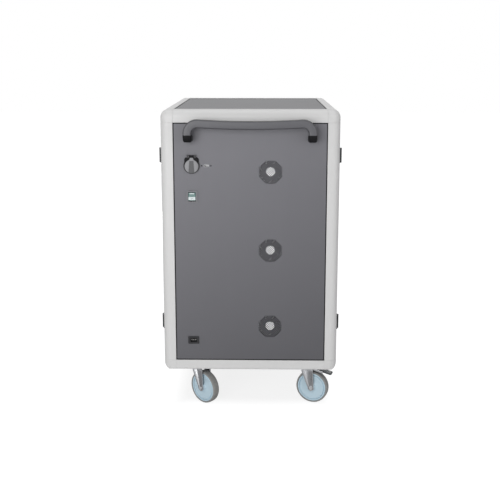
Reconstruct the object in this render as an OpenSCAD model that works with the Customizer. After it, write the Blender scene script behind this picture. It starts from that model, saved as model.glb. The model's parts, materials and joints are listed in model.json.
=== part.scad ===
/* [Cabinet] */
// Width of the cabinet across its service end
body_w = 650; // [560:10:760]
// Depth of the cabinet from the service end to the far end
body_d = 740; // [680:10:820]
// Height of the cabinet above its casters
body_h = 980; // [900:10:1080]

/* [Frame] */
// Width of the posts and height of the top beams
frame_w = 46; // [42:1:52]
// Height of the base beams
base_beam_h = 38; // [36:1:44]
// Radius of the long outer edges
edge_r = 28; // [20:1:30]
// Radius of the lower edges of the beams along the base's ends
base_edge_r = 8; // [6:1:20]
// Wall of the hollow frame sections
frame_wall = 2.5; // [2:0.5:4]
// Width of the ledges that panels and doors rest on
ledge_w = 10; // [8:1:12]
// Thickness of those ledges
ledge_t = 2.5; // [2:0.5:3.5]
// Length of the corner spigots inside the sections
spigot_l = 25; // [15:1:40]
// Clearance round a spigot
spigot_gap = 0.3; // [0.1:0.1:0.6]

/* [Panels] */
// Thickness of the end panels and the top panel
panel_t = 1.5; // [1:0.5:2.5]
// Depth of the panels behind the frame's outer face
panel_recess = 2; // [1:0.5:4]
// Gap between a panel and the frame round it
panel_gap = 1.5; // [1:0.5:2.5]
// Thickness of the plate that the casters are bolted to
base_plate_t = 3; // [2:0.5:5]

/* [Ventilation] */
// Radius of a perforated field
vent_r = 46; // [36:1:48]
// Radius of one hole in it
vent_hole_r = 2.3; // [1.5:0.1:2.4]
// Half the diagonal spacing of the holes
vent_step = 4; // [3.8:0.1:5]
// Distance of the fans from the cabinet's middle
fan_x = 74; // [40:1:100]
// Height of each fan above the shelf of its tier
fan_rise = 120; // [100:1:150]
// Outer size of a fan
fan_size = 92; // [92:1:110]
// Depth of a fan
fan_depth = 25; // [20:1:28]
// Radius of a fan's hub
fan_hub_r = 17.5; // [14:0.5:20]

/* [Handle] */
// Distance of the push handle from the posts on either side
handle_side = 41; // [30:1:100]
// Depth and height of the grip's section
handle_t = 24; // [20:1:28]
handle_h = 31; // [26:1:36]
// Distance of the grip's front from the cabinet's end
handle_reach = 58; // [50:1:80]
// Height of the grip's middle below the cabinet's top
handle_drop = 44; // [40:1:70]
// Height from the feet's middle up to the grip's middle
handle_leg = 58; // [50:1:90]

/* [Service fittings] */
// Distance of the socket, the switch and the inlet from the panel's left edge
fitting_inset = 67; // [62:1:80]
// Height of the socket below the top beam
socket_drop = 156; // [150:1:200]
// Radius of the socket's bezel
socket_r = 29.5; // [27:0.5:32]
// Distance of the communication port from the socket
port_offset = 53; // [50:1:70]
// Distance of the switch below the socket
switch_drop = 114; // [100:1:140]
// Height of the mains inlet above the cabinet's underside
inlet_rise = 117; // [100:1:160]

/* [Doors] */
// Depth of a door's folded pan
door_t = 18; // [14:1:22]
// Thickness of the door sheet
door_skin = 1.5; // [1:0.5:2]
// Depth of a door behind the frame's outer face
door_recess = 1; // [0:0.5:3]
// Gap between a door and the frame round it
door_gap = 2; // [1.5:0.5:4]
// Height of a hinge
hinge_h = 54; // [40:1:70]
// Distance of the upper hinge below the top beam
upper_hinge_drop = 122; // [100:1:200]
// Distance of the lower hinge above the base beam
lower_hinge_rise = 141; // [100:1:200]
// Radius of a hinge knuckle
knuckle_r = 4.2; // [3.5:0.1:5]
// Radius of a hinge pin
hinge_pin_r = 2; // [1.5:0.1:2.5]

/* [Interior] */
// Bays in each tier
bays = 8; // [6:1:10]
// Distance of the adapter compartment's wall from the middle
partition_x = 90; // [60:5:120]
// Height of the bay dividers
divider_h = 200; // [150:5:240]
// Thickness of a divider
divider_t = 2; // [1.5:0.5:3]
// Thickness of the shelf sheet
shelf_t = 1.5; // [1:0.5:2.5]

/* [Casters] */
// Height of the casters, from the floor to the cabinet
caster_h = 157; // [150:1:165]
// Height left above the wheels for the forks and plates
crown_room = 32; // [31:1:40]
// Thickness of the tyre on its hub
tyre_t = 6.5; // [6:0.5:12]
// Width of a tyre
tread_w = 30; // [24:1:34]
// Distance of the swivel axes from the cabinet's sides and from its ends
caster_side = 120; // [110:1:130]
caster_inset = 88; // [80:1:110]
// Distance of the axle behind the swivel axis
axle_x = 38; // [34:1:40]

/* [Hidden] */
$fn = 48;
fine_fn = 96;
hull_fn = 32;
overrun = 1;
run_gap = 0.05;
fit_gap = 0.3;

// Colours
frame_grey = [0.80, 0.80, 0.81];
sheet_grey = [0.44, 0.44, 0.47];
moulded_black = [0.10, 0.10, 0.11];
zinc = [0.70, 0.71, 0.73];
hub_blue = [0.62, 0.72, 0.76];
tyre_grey = [0.48, 0.48, 0.47];

// Levels, measured up from the floor
top_z = caster_h + body_h;
opening_top = top_z - frame_w;
opening_bottom = caster_h + base_beam_h;
shelf_lip = 10;
shelf_clear = 1.5;
first_shelf_top = opening_bottom + max(ledge_w, shelf_lip) + shelf_t + shelf_clear;
tiers = 3;
tier_headroom = 7;
tier_pitch = (opening_top - tier_headroom - first_shelf_top) / tiers;
function shelf_top(i) = first_shelf_top + i * tier_pitch;
function fan_z(i) = shelf_top(i) + fan_rise;

// Half sizes of the cabinet and of the openings between its posts
half_w = body_w / 2;
half_d = body_d / 2;
open_w = half_w - frame_w;
open_d = half_d - frame_w;
post_l = opening_top - opening_bottom;
panel_seat = panel_recess + panel_t;
door_seat = door_recess + door_t + fit_gap;
panel_y = panel_recess - half_d;
panel_back = panel_y + panel_t;
spigot_start = edge_r - (edge_r - frame_wall - spigot_gap) / sqrt(2);
seam = 0.05;

// Places of the fittings on the service panel
fitting_x = fitting_inset - open_w;
socket_z = opening_top - socket_drop;
switch_z = socket_z - switch_drop;
inlet_z = caster_h + inlet_rise;
port_x = fitting_x + port_offset;
grip_z = top_z - handle_drop;
foot_z = grip_z - handle_leg;
foot_x = open_w - handle_side - handle_h / 2;
handle_bolt_r = 4;
handle_bolt_l = 20;

// Socket, port, switch and inlet
socket_bezel_t = 4;
socket_body_r = 22;
socket_body_l = 34;
socket_well_r = 19.5;
socket_well_l = 17;
socket_pin_r = 2.5;
socket_pin_x = 9.5;
socket_pin_l = 14;
lid_margin = 3.5;
lid_r = socket_r - lid_margin;
lid_t = 3;
lid_groove_w = 14;
lid_groove_t = 1;
lid_barrel_r = 3.5;
lid_pin_r = 1.5;
lid_neck_w = 18;
lid_block_w = 33;
lid_block_h = 10;
lid_block_root = 6;
lid_block_drop = lid_block_h / 2 + lid_block_root;
lid_axis_z = socket_z + socket_r + lid_block_h / 2;
lid_axis_y = panel_y - socket_bezel_t - lid_t / 2;
lid_plate_t = panel_y - lid_axis_y - lid_barrel_r - fit_gap;
port_w = 17;
port_h = 8;
port_wall = 1;
port_depth = 16;
port_flange_h = 14;
port_screw_x = 16.5;
port_screw_r = 1.5;
screw_head_r = 2.8;
screw_head_t = 1.6;
switch_w = 42;
switch_h = 45;
switch_bezel_t = 3;
switch_depth = 26;
switch_rim = 6;
rocker_w = 27;
rocker_h = 31;
rocker_gap = 0.8;
rocker_tilt = 7;
rocker_pin_r = 1.5;
rocker_pivot = 5;
rocker_depth = 9;
inlet_w = 41;
inlet_h = 29.5;
inlet_flange_t = 2.5;
inlet_body_w = 28;
inlet_body_h = 20;
inlet_depth = 24;
inlet_wall = 2;
inlet_well = 16;
inlet_pin_w = 2;
inlet_pin_h = 4;
inlet_pin_x = 7;
box_w = 125;
box_gap = 2;
box_h = 240;
box_depth = 44;
box_wall = 1.2;
box_below = 50;

// Fans
fan_wall = 3;
fan_bore_r = fan_size / 2 - fan_wall;
fan_screw_r = 2.2;
fan_screw_inset = 5;
fan_strut_w = 7;
fan_cup_t = 4;
fan_pin_r = 1.5;
fan_pin_l = 12;
fan_front_gap = 3;
fan_tip_gap = 1.5;
blade_t = 1.6;
blade_count = 7;
blade_pitch = 38;

// Shelves, dividers and power strips
shelf_gap = 1;
shelf_half_w = half_w - door_seat - ledge_t - shelf_gap;
shelf_half_d = half_d - panel_seat - ledge_t - shelf_gap;
bracket_w = 18;
bracket_h = 9;
bracket_t = 1.5;
bay_half = open_d - ledge_w - shelf_gap;
bay_pitch = 2 * bay_half / bays;
divider_inset = 6;
divider_front = shelf_half_w - divider_inset;
divider_round = 30;
divider_slot_w = 26;
divider_slot_share = 0.6;
adapter_wall_t = 1.5;
fan_clear = 3;
wall_half = half_d - panel_seat - fan_depth - fan_clear;
cable_hole_r = 14;
strip_w = 460;
strip_h = 44;
strip_t = 38;
strip_rise = 110;
outlet_r = 18;
outlet_depth = 10;
outlet_pitch = strip_w / bays;

// Doors, hinges and locks
door_half = open_d - door_gap;
door_low = opening_bottom + door_gap;
door_high = opening_top - door_gap;
door_mid = (opening_bottom + opening_top) / 2;
door_slot_w = 90;
door_slot_h = 6;
door_slot_pitch = 16;
door_slot_rows = 6;
door_slot_low = 60;
door_slot_columns = 3;
hinge_leaf_w = 16;
door_leaf_w = 24;
hinge_leaf_t = 3;
hinge_air = 0.3;
hinge_x = half_w + hinge_air + knuckle_r;
hinge_y = door_gap / 2 - open_d;
upper_hinge_z = opening_top - upper_hinge_drop;
lower_hinge_z = opening_bottom + lower_hinge_rise;
lock_inset = 26;
lock_y = door_half - lock_inset;
case_w = 34;
case_h = 112;
case_t = 3;
case_barrel_r = 9;
lock_shaft_r = 4;
wing_w = 18;
wing_h = 84;
wing_t = 9;
cam_w = 14;
cam_t = 2.5;
cam_l = open_d - lock_y - overrun - fit_gap;
cam_gap = 2;
cam_depth = door_seat + ledge_t + cam_gap;

// Casters
caster_x = half_w - caster_side;
wheel_r = (caster_h - crown_room) / 2;
plate_w = 84;
plate_l = 100;
plate_t = 4;
plate_hole_x = 40;
plate_hole_y = 30;
bolt_r = 4;
bolt_head_r = 7.2;
bolt_head_h = 5.3;
race_r = 34;
race_h = 7;
race_gap = 0.4;
race_low_r = 28;
race_low_h = 8;
crown_w = 62;
crown_t = 3.5;
king_r = 6;
king_head_r = 10;
king_head_h = 3.5;
fork_t = 3;
wheel_side_gap = 4;
fork_half = tread_w / 2 + wheel_side_gap;
fork_boss_r = 12;
leg_front = -10;
race_z = caster_h - plate_t - race_h;
crown_z = race_z - race_gap - race_low_h;
crown_under = crown_z - crown_t;
axle_r = 4;
axle_head_r = 7.5;
axle_head_t = 5;
hub_r = wheel_r - tyre_t;
hub_boss_r = 15;
hub_bore_r = axle_r + run_gap;
hub_disc_t = 22;
hub_groove_t = 2;
tyre_edge_t = 1.5;
tyre_shoulder = tyre_t - tyre_edge_t;
pedal_w = 30;
pedal_t = 7;
pedal_l = 74;
pedal_pin_r = 3;
pedal_lug_r = 6.5;
pedal_slope = 12;
pedal_x = 40;
pedal_z = crown_z;
// Side, end and turn of each caster, with the wheel trailing towards the right
near_left = [-1, -1, -40];
near_right = [1, -1, -20];
far_left = [-1, 1, -30];
far_right = [1, 1, -24];

// The handle stands out at one end, so the cabinet is set back by half of that
module placed() {
  translate([0, handle_reach / 2, 0]) children();
}

// Mirrors what is drawn for the right-hand side to the left
module on_side(side) {
  placed() scale_side(side) children();
}

module scale_side(side) {
  if (side < 0) mirror([1, 0, 0]) children();
  else children();
}

// A flat outline in X and Z, made into a sheet that starts at y
module upright(y, t) {
  translate([0, y + t, 0]) rotate([90, 0, 0]) linear_extrude(t) children();
}

// A flat outline in Y and Z, made into a sheet that starts at x
module sideways(x, t) {
  translate([x, 0, 0]) rotate([90, 0, 90]) linear_extrude(t) children();
}

module rod_x(r, x0, x1) {
  translate([x0, 0, 0]) rotate([0, 90, 0]) cylinder(r = r, h = x1 - x0);
}

module rod_y(r, y0, y1) {
  translate([0, y0, 0]) rotate([-90, 0, 0]) cylinder(r = r, h = y1 - y0);
}

module rounded_rect(w, h, r) {
  square([w - 2 * r, h], center = true);
  square([w, h - 2 * r], center = true);
  for (x = [-1, 1], y = [-1, 1]) translate([x * (w / 2 - r), y * (h / 2 - r)]) circle(r);
}

module slot_outline(w, h) {
  square([w - h, h], center = true);
  for (x = [-1, 1]) translate([x * (w - h) / 2, 0]) circle(h / 2);
}

// A rectangle whose corner at the origin is round
module corner_section(w, h, r) {
  intersection() {
    square([w, h]);
    union() {
      translate([r, r]) circle(r, $fn = fine_fn);
      translate([r, 0]) square([w - r, h]);
      translate([0, r]) square([w, h - r]);
    }
  }
}

// A hollow frame member along Z, with its outer edge at the origin
module section_tube(l, w, h, r) {
  translate([0, 0, seam]) linear_extrude(l - 2 * seam) difference() {
    corner_section(w, h, r);
    translate([frame_wall, frame_wall])
      corner_section(w - 2 * frame_wall, h - 2 * frame_wall, r - frame_wall);
  }
}

// The ledges on the two inner faces of such a member
module ledges(l, w, h, ledge_x_at, ledge_x_trim, ledge_y_at, ledge_y_trim) {
  x_trim = ledge_x_trim + seam;
  y_trim = ledge_y_trim + seam;
  translate([w, ledge_x_at, x_trim]) cube([ledge_w, ledge_t, l - 2 * x_trim]);
  translate([ledge_y_at, h, y_trim]) cube([ledge_t, ledge_w, l - 2 * y_trim]);
}

// A frame member with its ledges
module member(l, w, h, r, ledge_x_at, ledge_x_trim, ledge_y_at, ledge_y_trim) {
  section_tube(l, w, h, r);
  ledges(l, w, h, ledge_x_at, ledge_x_trim, ledge_y_at, ledge_y_trim);
}

module at_posts() {
  for (x = [0, 1], y = [0, 1]) mirror([x, 0, 0]) mirror([0, y, 0])
    translate([-half_w, -half_d, opening_bottom]) children();
}

module corner_posts() {
  color(frame_grey) placed() at_posts() section_tube(post_l, frame_w, frame_w, edge_r);
}

// Strips on the posts, which the end panels lie on and the doors close against
module post_ledges() {
  color(frame_grey) placed() at_posts() ledges(post_l, frame_w, frame_w, panel_seat, 0, door_seat, 0);
}

// Beams along the ends and rails along the sides, drawn upwards from their outer edge
module beam_ring(h, end_r, seat, trim) {
  for (y = [0, 1]) mirror([0, y, 0])
    translate([-open_w, -half_d, 0]) rotate([90, 0, 90])
      member(2 * open_w, frame_w, h, end_r, seat, trim, panel_seat, ledge_w);
  for (x = [0, 1]) mirror([x, 0, 0])
    translate([-half_w, open_d, 0]) rotate([90, 0, 0])
      member(2 * open_d, frame_w, h, edge_r, seat, ledge_w + spigot_gap, door_seat, ledge_w);
}

module top_beams() {
  color(frame_grey) placed() translate([0, 0, top_z]) mirror([0, 0, 1])
    beam_ring(frame_w, edge_r, panel_seat, 0);
}

// The ledges along the ends of the base stop short of the caster bolts
module base_beams() {
  trim = open_w - caster_x + plate_hole_x + bolt_head_r + overrun;
  color(frame_grey) placed() translate([0, 0, caster_h])
    beam_ring(base_beam_h, base_edge_r, base_plate_t, trim);
}

// A corner block of the top, with three round outer edges that meet in a ball
module top_block() {
  h = frame_w;
  intersection() {
    cube([frame_w, frame_w, h]);
    union() {
      translate([edge_r, edge_r, edge_r]) sphere(edge_r, $fn = fine_fn);
      translate([edge_r, edge_r, edge_r]) cylinder(r = edge_r, h = h, $fn = fine_fn);
      translate([edge_r, edge_r, edge_r]) rotate([0, 90, 0])
        cylinder(r = edge_r, h = frame_w, $fn = fine_fn);
      translate([edge_r, edge_r, edge_r]) rotate([-90, 0, 0])
        cylinder(r = edge_r, h = frame_w, $fn = fine_fn);
      translate([0, edge_r, edge_r]) cube([frame_w, frame_w, h]);
      translate([edge_r, 0, edge_r]) cube([frame_w, frame_w, h]);
      translate([edge_r, edge_r, 0]) cube([frame_w, frame_w, h]);
    }
  }
  spigots(h);
}

// A corner block of the base, where the three sections meet in mitres
module base_block() {
  h = base_beam_h;
  intersection() {
    linear_extrude(h) corner_section(frame_w, frame_w, edge_r);
    translate([0, frame_w, 0]) rotate([90, 0, 0]) linear_extrude(frame_w) corner_section(frame_w, h, edge_r);
    rotate([90, 0, 90]) linear_extrude(frame_w) corner_section(frame_w, h, base_edge_r);
  }
  spigots(h);
}

// The spigots of a corner block, one into each section that meets it
module spigots(h) {
  spigot_w = frame_w - frame_wall - spigot_gap - spigot_start;
  spigot_h = h - frame_wall - spigot_gap - spigot_start;
  translate([frame_w, spigot_start, spigot_start]) cube([spigot_l, spigot_w, spigot_h]);
  translate([spigot_start, frame_w, spigot_start]) cube([spigot_w, spigot_l, spigot_h]);
  translate([spigot_start, spigot_start, h]) cube([spigot_w, spigot_w, spigot_l]);
}

module four_corners() {
  for (x = [0, 1], y = [0, 1]) mirror([x, 0, 0]) mirror([0, y, 0])
    translate([-half_w, -half_d, 0]) children();
}

module top_corners() {
  color(frame_grey) placed() translate([0, 0, top_z]) mirror([0, 0, 1]) four_corners() top_block();
}

module base_corners() {
  color(frame_grey) placed() translate([0, 0, caster_h]) four_corners() base_block();
}

// The outline of an end panel in X and Z
module panel_outline() {
  translate([panel_gap - open_w, opening_bottom + panel_gap])
    square([2 * (open_w - panel_gap), post_l - 2 * panel_gap]);
}

// Round field of staggered holes
module vent_field() {
  n = ceil(vent_r / vent_step);
  for (i = [-n : n], j = [-n : n]) {
    x = (i + j) * vent_step;
    y = (i - j) * vent_step;
    if (norm([x, y]) < vent_r - vent_hole_r) translate([x, y]) circle(vent_hole_r, $fn = hull_fn);
  }
}

module service_panel() {
  color(sheet_grey) placed() upright(panel_y, panel_t) difference() {
    panel_outline();
    for (i = [0 : tiers - 1]) translate([fan_x, fan_z(i)]) vent_field();
    translate([fitting_x, socket_z]) circle(socket_body_r + fit_gap);
    translate([port_x, socket_z]) square([port_w + fit_gap, port_h + fit_gap], center = true);
    for (x = [-1, 1]) translate([port_x + x * port_screw_x, socket_z]) circle(port_screw_r + run_gap);
    translate([fitting_x, switch_z])
      square([switch_w - switch_rim + fit_gap, switch_h - switch_rim + fit_gap], center = true);
    translate([fitting_x, inlet_z])
      square([inlet_body_w + fit_gap, inlet_body_h + fit_gap], center = true);
    for (x = [-1, 1]) translate([x * foot_x, foot_z]) circle(handle_bolt_r + run_gap);
  }
}

module far_panel() {
  color(sheet_grey) placed() upright(-panel_y - panel_t, panel_t) panel_outline();
}

module top_panel() {
  color(sheet_grey) placed() translate([0, 0, top_z - panel_seat]) linear_extrude(panel_t)
    square([2 * (open_w - panel_gap), 2 * (open_d - panel_gap)], center = true);
}

// Places of the caster bolts, for one caster
module at_plate_bolts() {
  for (x = [-1, 1], y = [-1, 1]) translate([x * plate_hole_x, y * plate_hole_y, 0]) children();
}

module at_casters() {
  for (x = [-1, 1], y = [-1, 1])
    translate([x * caster_x, y * (half_d - caster_inset), 0]) children();
}

module base_plate() {
  color(sheet_grey) placed() difference() {
    translate([0, 0, caster_h]) linear_extrude(base_plate_t)
      square([2 * (open_w - fit_gap), 2 * (open_d - fit_gap)], center = true);
    translate([0, 0, caster_h - overrun]) at_casters() at_plate_bolts()
      cylinder(r = bolt_r + run_gap, h = base_plate_t + 2 * overrun);
  }
}

// Push handle: a grip, two bends down, two legs and two bends into the panel
module push_handle() {
  bend = handle_h;
  foot_bend = handle_t / 2 + ledge_t;
  grip_y = handle_t / 2 - half_d - handle_reach;
  leg_top = grip_z - bend;
  color(moulded_black) placed() difference() {
    union() {
      translate([bend - foot_x, grip_y, grip_z]) rotate([90, 0, 90])
        linear_extrude(2 * (foot_x - bend)) rounded_rect(handle_t, handle_h, handle_t / 3);
      for (s = [0, 1]) mirror([s, 0, 0]) {
        translate([foot_x - bend, grip_y, leg_top]) rotate([90, 0, 0])
          rotate_extrude(angle = 90, $fn = fine_fn)
            translate([bend, 0]) rounded_rect(handle_h, handle_t, handle_t / 3);
        translate([foot_x, grip_y, foot_z + foot_bend])
          linear_extrude(leg_top - foot_z - foot_bend) rounded_rect(handle_h, handle_t, handle_t / 3);
        translate([foot_x, grip_y + foot_bend, foot_z + foot_bend]) rotate([0, 90, 0])
          rotate([0, 0, 180]) mirror([1, 0, 0]) rotate_extrude(angle = 90, $fn = fine_fn)
            translate([foot_bend, 0]) rounded_rect(handle_t, handle_h, handle_t / 3);
        translate([foot_x, grip_y + foot_bend, foot_z]) rotate([-90, 0, 0])
          linear_extrude(panel_y - grip_y - foot_bend)
            rounded_rect(handle_h, handle_t, handle_t / 3);
      }
    }
    for (x = [-1, 1]) translate([x * foot_x, 0, foot_z])
      rod_y(handle_bolt_r + run_gap, panel_y - handle_bolt_l, panel_y + overrun);
  }
}

module handle_bolts() {
  color(zinc) placed() for (x = [-1, 1]) translate([x * foot_x, 0, foot_z]) {
    rod_y(handle_bolt_r, panel_y - handle_bolt_l + fit_gap, panel_back + overrun);
    translate([0, panel_back, 0]) rotate([-90, 0, 0])
      cylinder(r = bolt_head_r, h = bolt_head_h, $fn = 6);
  }
}

// Mains socket with its round well, and a hinge block above it
module socket_housing() {
  front = panel_y - socket_bezel_t;
  block_front = lid_axis_y - lid_barrel_r;
  knuckle_w = (lid_block_w - lid_neck_w) / 2 - fit_gap;
  color(moulded_black) placed() difference() {
    union() {
      translate([fitting_x, 0, socket_z]) {
        rod_y(socket_r, front, panel_y);
        rod_y(socket_body_r, panel_y - overrun, panel_y + socket_body_l);
      }
      for (x = [0, 1]) translate([fitting_x, 0, 0]) mirror([x, 0, 0])
        translate([lid_neck_w / 2 + fit_gap, block_front, lid_axis_z - lid_block_h / 2])
          cube([knuckle_w, panel_y - block_front, lid_block_h]);
      translate([fitting_x - lid_block_w / 2, panel_y - lid_plate_t, lid_axis_z - lid_block_drop])
        cube([lid_block_w, lid_plate_t, lid_block_h / 2 + lid_block_drop]);
    }
    translate([fitting_x, 0, socket_z]) rod_y(socket_well_r, front - overrun, front + socket_well_l);
    for (x = [-1, 1]) translate([fitting_x + x * socket_pin_x, 0, socket_z])
      rod_y(socket_pin_r, front, front + socket_well_l + socket_pin_l);
    translate([fitting_x, lid_axis_y, lid_axis_z])
      rod_x(lid_pin_r + run_gap, -lid_block_w, lid_block_w);
  }
}

// Flip lid over the socket: a disc with a finger groove, a neck and a barrel on a pin
module socket_lid() {
  back = panel_y - socket_bezel_t - fit_gap;
  color(sheet_grey) placed() translate([fitting_x, 0, 0]) {
    difference() {
      union() {
        translate([0, 0, socket_z]) rod_y(lid_r, back - lid_t, back);
        translate([-lid_neck_w / 2, back - lid_t, socket_z])
          cube([lid_neck_w, lid_t, lid_axis_z - socket_z]);
        translate([0, lid_axis_y, lid_axis_z]) rod_x(lid_barrel_r, -lid_neck_w / 2, lid_neck_w / 2);
      }
      translate([-lid_groove_w / 2, back - lid_t - overrun, socket_z - lid_r])
        cube([lid_groove_w, lid_groove_t + overrun, 2 * lid_r - lid_block_h]);
    }
    translate([0, lid_axis_y, lid_axis_z]) rod_x(lid_pin_r, -lid_block_w / 2, lid_block_w / 2);
  }
}

// Communication port: a flange behind the panel and a metal shell through it
module data_port() {
  color(zinc) placed() difference() {
    union() {
      translate([port_x, 0, socket_z]) upright(panel_back, ledge_t) difference() {
        square([2 * port_screw_x + port_flange_h, port_flange_h], center = true);
        for (x = [-1, 1]) translate([x * port_screw_x, 0]) circle(port_screw_r + run_gap);
      }
      translate([port_x - port_w / 2, panel_y, socket_z - port_h / 2])
        cube([port_w, port_depth, port_h]);
    }
    translate([port_x - port_w / 2 + port_wall, panel_y - overrun, socket_z - port_h / 2 + port_wall])
      cube([port_w - 2 * port_wall, port_depth - port_wall, port_h - 2 * port_wall]);
  }
}

module port_screws() {
  color(zinc) placed() for (x = [-1, 1]) translate([port_x + x * port_screw_x, 0, socket_z]) {
    rod_y(screw_head_r, panel_y - screw_head_t, panel_y);
    rod_y(port_screw_r, panel_y - overrun / 2, panel_back + ledge_t + overrun);
  }
}

module switch_bezel() {
  front = panel_y - switch_bezel_t;
  color(moulded_black) placed() translate([fitting_x, 0, switch_z]) difference() {
    union() {
      upright(front, switch_bezel_t) rounded_rect(switch_w, switch_h, switch_bezel_t);
      upright(panel_y - overrun, switch_depth + overrun)
        square([switch_w - switch_rim, switch_h - switch_rim], center = true);
    }
    upright(front - overrun, switch_depth + overrun)
      square([rocker_w + rocker_gap, rocker_h + 4 * rocker_gap], center = true);
    translate([0, panel_y + rocker_pivot, 0])
      rod_x(rocker_pin_r + run_gap, -rocker_w / 2 - switch_bezel_t, rocker_w / 2 + switch_bezel_t);
  }
}

// Rocker: a shallow V in front, tipped so that its upper half is pressed in
module switch_rocker() {
  middle = -rocker_pivot - switch_bezel_t + overrun;
  tip = middle - rocker_h / 2 * tan(rocker_tilt);
  color("teal") placed() translate([fitting_x, panel_y + rocker_pivot, switch_z])
    rotate([-rocker_tilt, 0, 0]) {
      sideways(-rocker_w / 2, rocker_w) polygon([
        [middle, 0], [tip, rocker_h / 2], [0, rocker_h / 2 - rocker_gap], [rocker_depth, 0],
        [0, rocker_gap - rocker_h / 2], [tip, -rocker_h / 2]
      ]);
      rod_x(rocker_pin_r, overrun - rocker_w / 2 - switch_bezel_t,
        rocker_w / 2 + switch_bezel_t - overrun);
    }
}

module mains_inlet() {
  front = panel_y - inlet_flange_t;
  color(moulded_black) placed() translate([fitting_x, 0, inlet_z]) {
    difference() {
      union() {
        upright(front, inlet_flange_t) rounded_rect(inlet_w, inlet_h, inlet_flange_t);
        upright(panel_y - overrun, inlet_depth + overrun)
          square([inlet_body_w, inlet_body_h], center = true);
      }
      upright(front - overrun, inlet_well + overrun)
        square([inlet_body_w - 2 * inlet_wall, inlet_body_h - 2 * inlet_wall], center = true);
    }
    for (x = [-1, 0, 1]) translate([x * inlet_pin_x - inlet_pin_w / 2, front + inlet_pin_h, -inlet_pin_h / 2])
      cube([inlet_pin_w, inlet_well, inlet_pin_h]);
  }
}

// Cover behind the inlet, open towards the panel, for the wiring
module power_box() {
  color(sheet_grey) placed() translate([ledge_w + box_gap - open_w, panel_back, inlet_z - box_below])
    difference() {
      cube([box_w, box_depth, box_h]);
      translate([box_wall, -overrun, box_wall])
        cube([box_w - 2 * box_wall, box_depth + overrun - box_wall, box_h - 2 * box_wall]);
    }
}

// Fan frame on the panel's back, with a cup and a pin for the rotor on four struts
module fan_frame() {
  back = panel_back + fan_depth;
  difference() {
    union() {
      upright(panel_back, fan_depth) difference() {
        square(fan_size, center = true);
        circle(fan_bore_r, $fn = fine_fn);
      }
      upright(back - fan_cup_t, fan_cup_t) for (a = [45, 135]) rotate(a)
        square([fan_size, fan_strut_w], center = true);
      rod_y(fan_hub_r, back - fan_cup_t, back);
    }
    for (x = [-1, 1], z = [-1, 1])
      translate([x * (fan_size / 2 - fan_screw_inset), 0, z * (fan_size / 2 - fan_screw_inset)])
        rod_y(fan_screw_r, panel_back - overrun, back + overrun);
  }
  rod_y(fan_pin_r, back - fan_cup_t - fan_pin_l, back - overrun);
}

module fan_frames() {
  color(moulded_black) placed() for (i = [0 : tiers - 1]) translate([fan_x, 0, fan_z(i)]) fan_frame();
}

module fan_rotor(i) {
  front = panel_back + fan_front_gap;
  back = panel_back + fan_depth - fan_cup_t - fit_gap;
  color("gainsboro") placed() translate([fan_x, 0, fan_z(i)]) difference() {
    union() {
      rod_y(fan_hub_r, front, back);
      intersection() {
        rod_y(fan_bore_r - fan_tip_gap, front, back);
        for (k = [0 : blade_count - 1]) rotate([0, k * 360 / blade_count, 0])
          translate([0, (front + back) / 2, 0]) rotate([0, 0, blade_pitch])
            translate([-blade_t / 2, -fan_depth, 0]) cube([blade_t, 2 * fan_depth, fan_size]);
      }
    }
    rod_y(fan_pin_r + run_gap, back - fan_pin_l - fit_gap, back + overrun);
  }
}

module fan_rotor_lower() fan_rotor(0);
module fan_rotor_middle() fan_rotor(1);
module fan_rotor_upper() fan_rotor(2);

// Shelf sheet with notches round the posts and a folded lip along each door
module shelf() {
  notch_w = open_w - shelf_gap;
  notch_d = open_d - shelf_gap;
  translate([0, 0, -shelf_t]) linear_extrude(shelf_t) {
    square([2 * shelf_half_w, 2 * notch_d], center = true);
    square([2 * notch_w, 2 * shelf_half_d], center = true);
  }
  for (x = [0, 1]) mirror([x, 0, 0])
    translate([shelf_half_w - shelf_t, -notch_d, -shelf_t - shelf_lip])
      cube([shelf_t, 2 * notch_d, shelf_lip]);
}

module shelves() {
  color(sheet_grey) placed() for (i = [0 : tiers - 1]) translate([0, 0, shelf_top(i)]) shelf();
}

// Angle brackets on the posts under each shelf
module shelf_brackets() {
  color(zinc) placed() for (i = [0 : tiers - 1], x = [0, 1], y = [0, 1])
    mirror([x, 0, 0]) mirror([0, y, 0]) translate([open_w + shelf_t, -open_d, shelf_top(i) - shelf_t]) {
      translate([0, 0, -bracket_h]) cube([bracket_w, bracket_t, bracket_h]);
      translate([0, 0, -bracket_t]) cube([bracket_w, bracket_w, bracket_t]);
    }
}

// Upright bay dividers, with a round upper corner towards the left-hand door
module divider() {
  l = divider_front + partition_x;
  difference() {
    union() {
      translate([-divider_front, 0]) square([l, divider_h - divider_round]);
      translate([divider_round - divider_front, 0]) square([l - divider_round, divider_h]);
      translate([divider_round - divider_front, divider_h - divider_round]) circle(divider_round);
    }
    translate([partition_x - l / 2, divider_h / 2])
      slot_outline(l * divider_slot_share, divider_slot_w);
  }
}

module bay_dividers() {
  color("whitesmoke") placed() for (i = [0 : tiers - 1], k = [0 : bays])
    translate([0, 0, shelf_top(i)]) upright(k * bay_pitch - bay_half - divider_t / 2, divider_t) divider();
}

module adapter_walls() {
  h = tier_pitch - shelf_t;
  color(sheet_grey) placed() for (i = [0 : tiers - 1]) translate([0, 0, shelf_top(i)])
    sideways(partition_x, adapter_wall_t) difference() {
      translate([-wall_half, 0]) square([2 * wall_half, h]);
      for (k = [0 : bays - 1])
        translate([(k + 0.5) * bay_pitch - bay_half, divider_h + cable_hole_r]) circle(cable_hole_r);
    }
}

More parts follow.
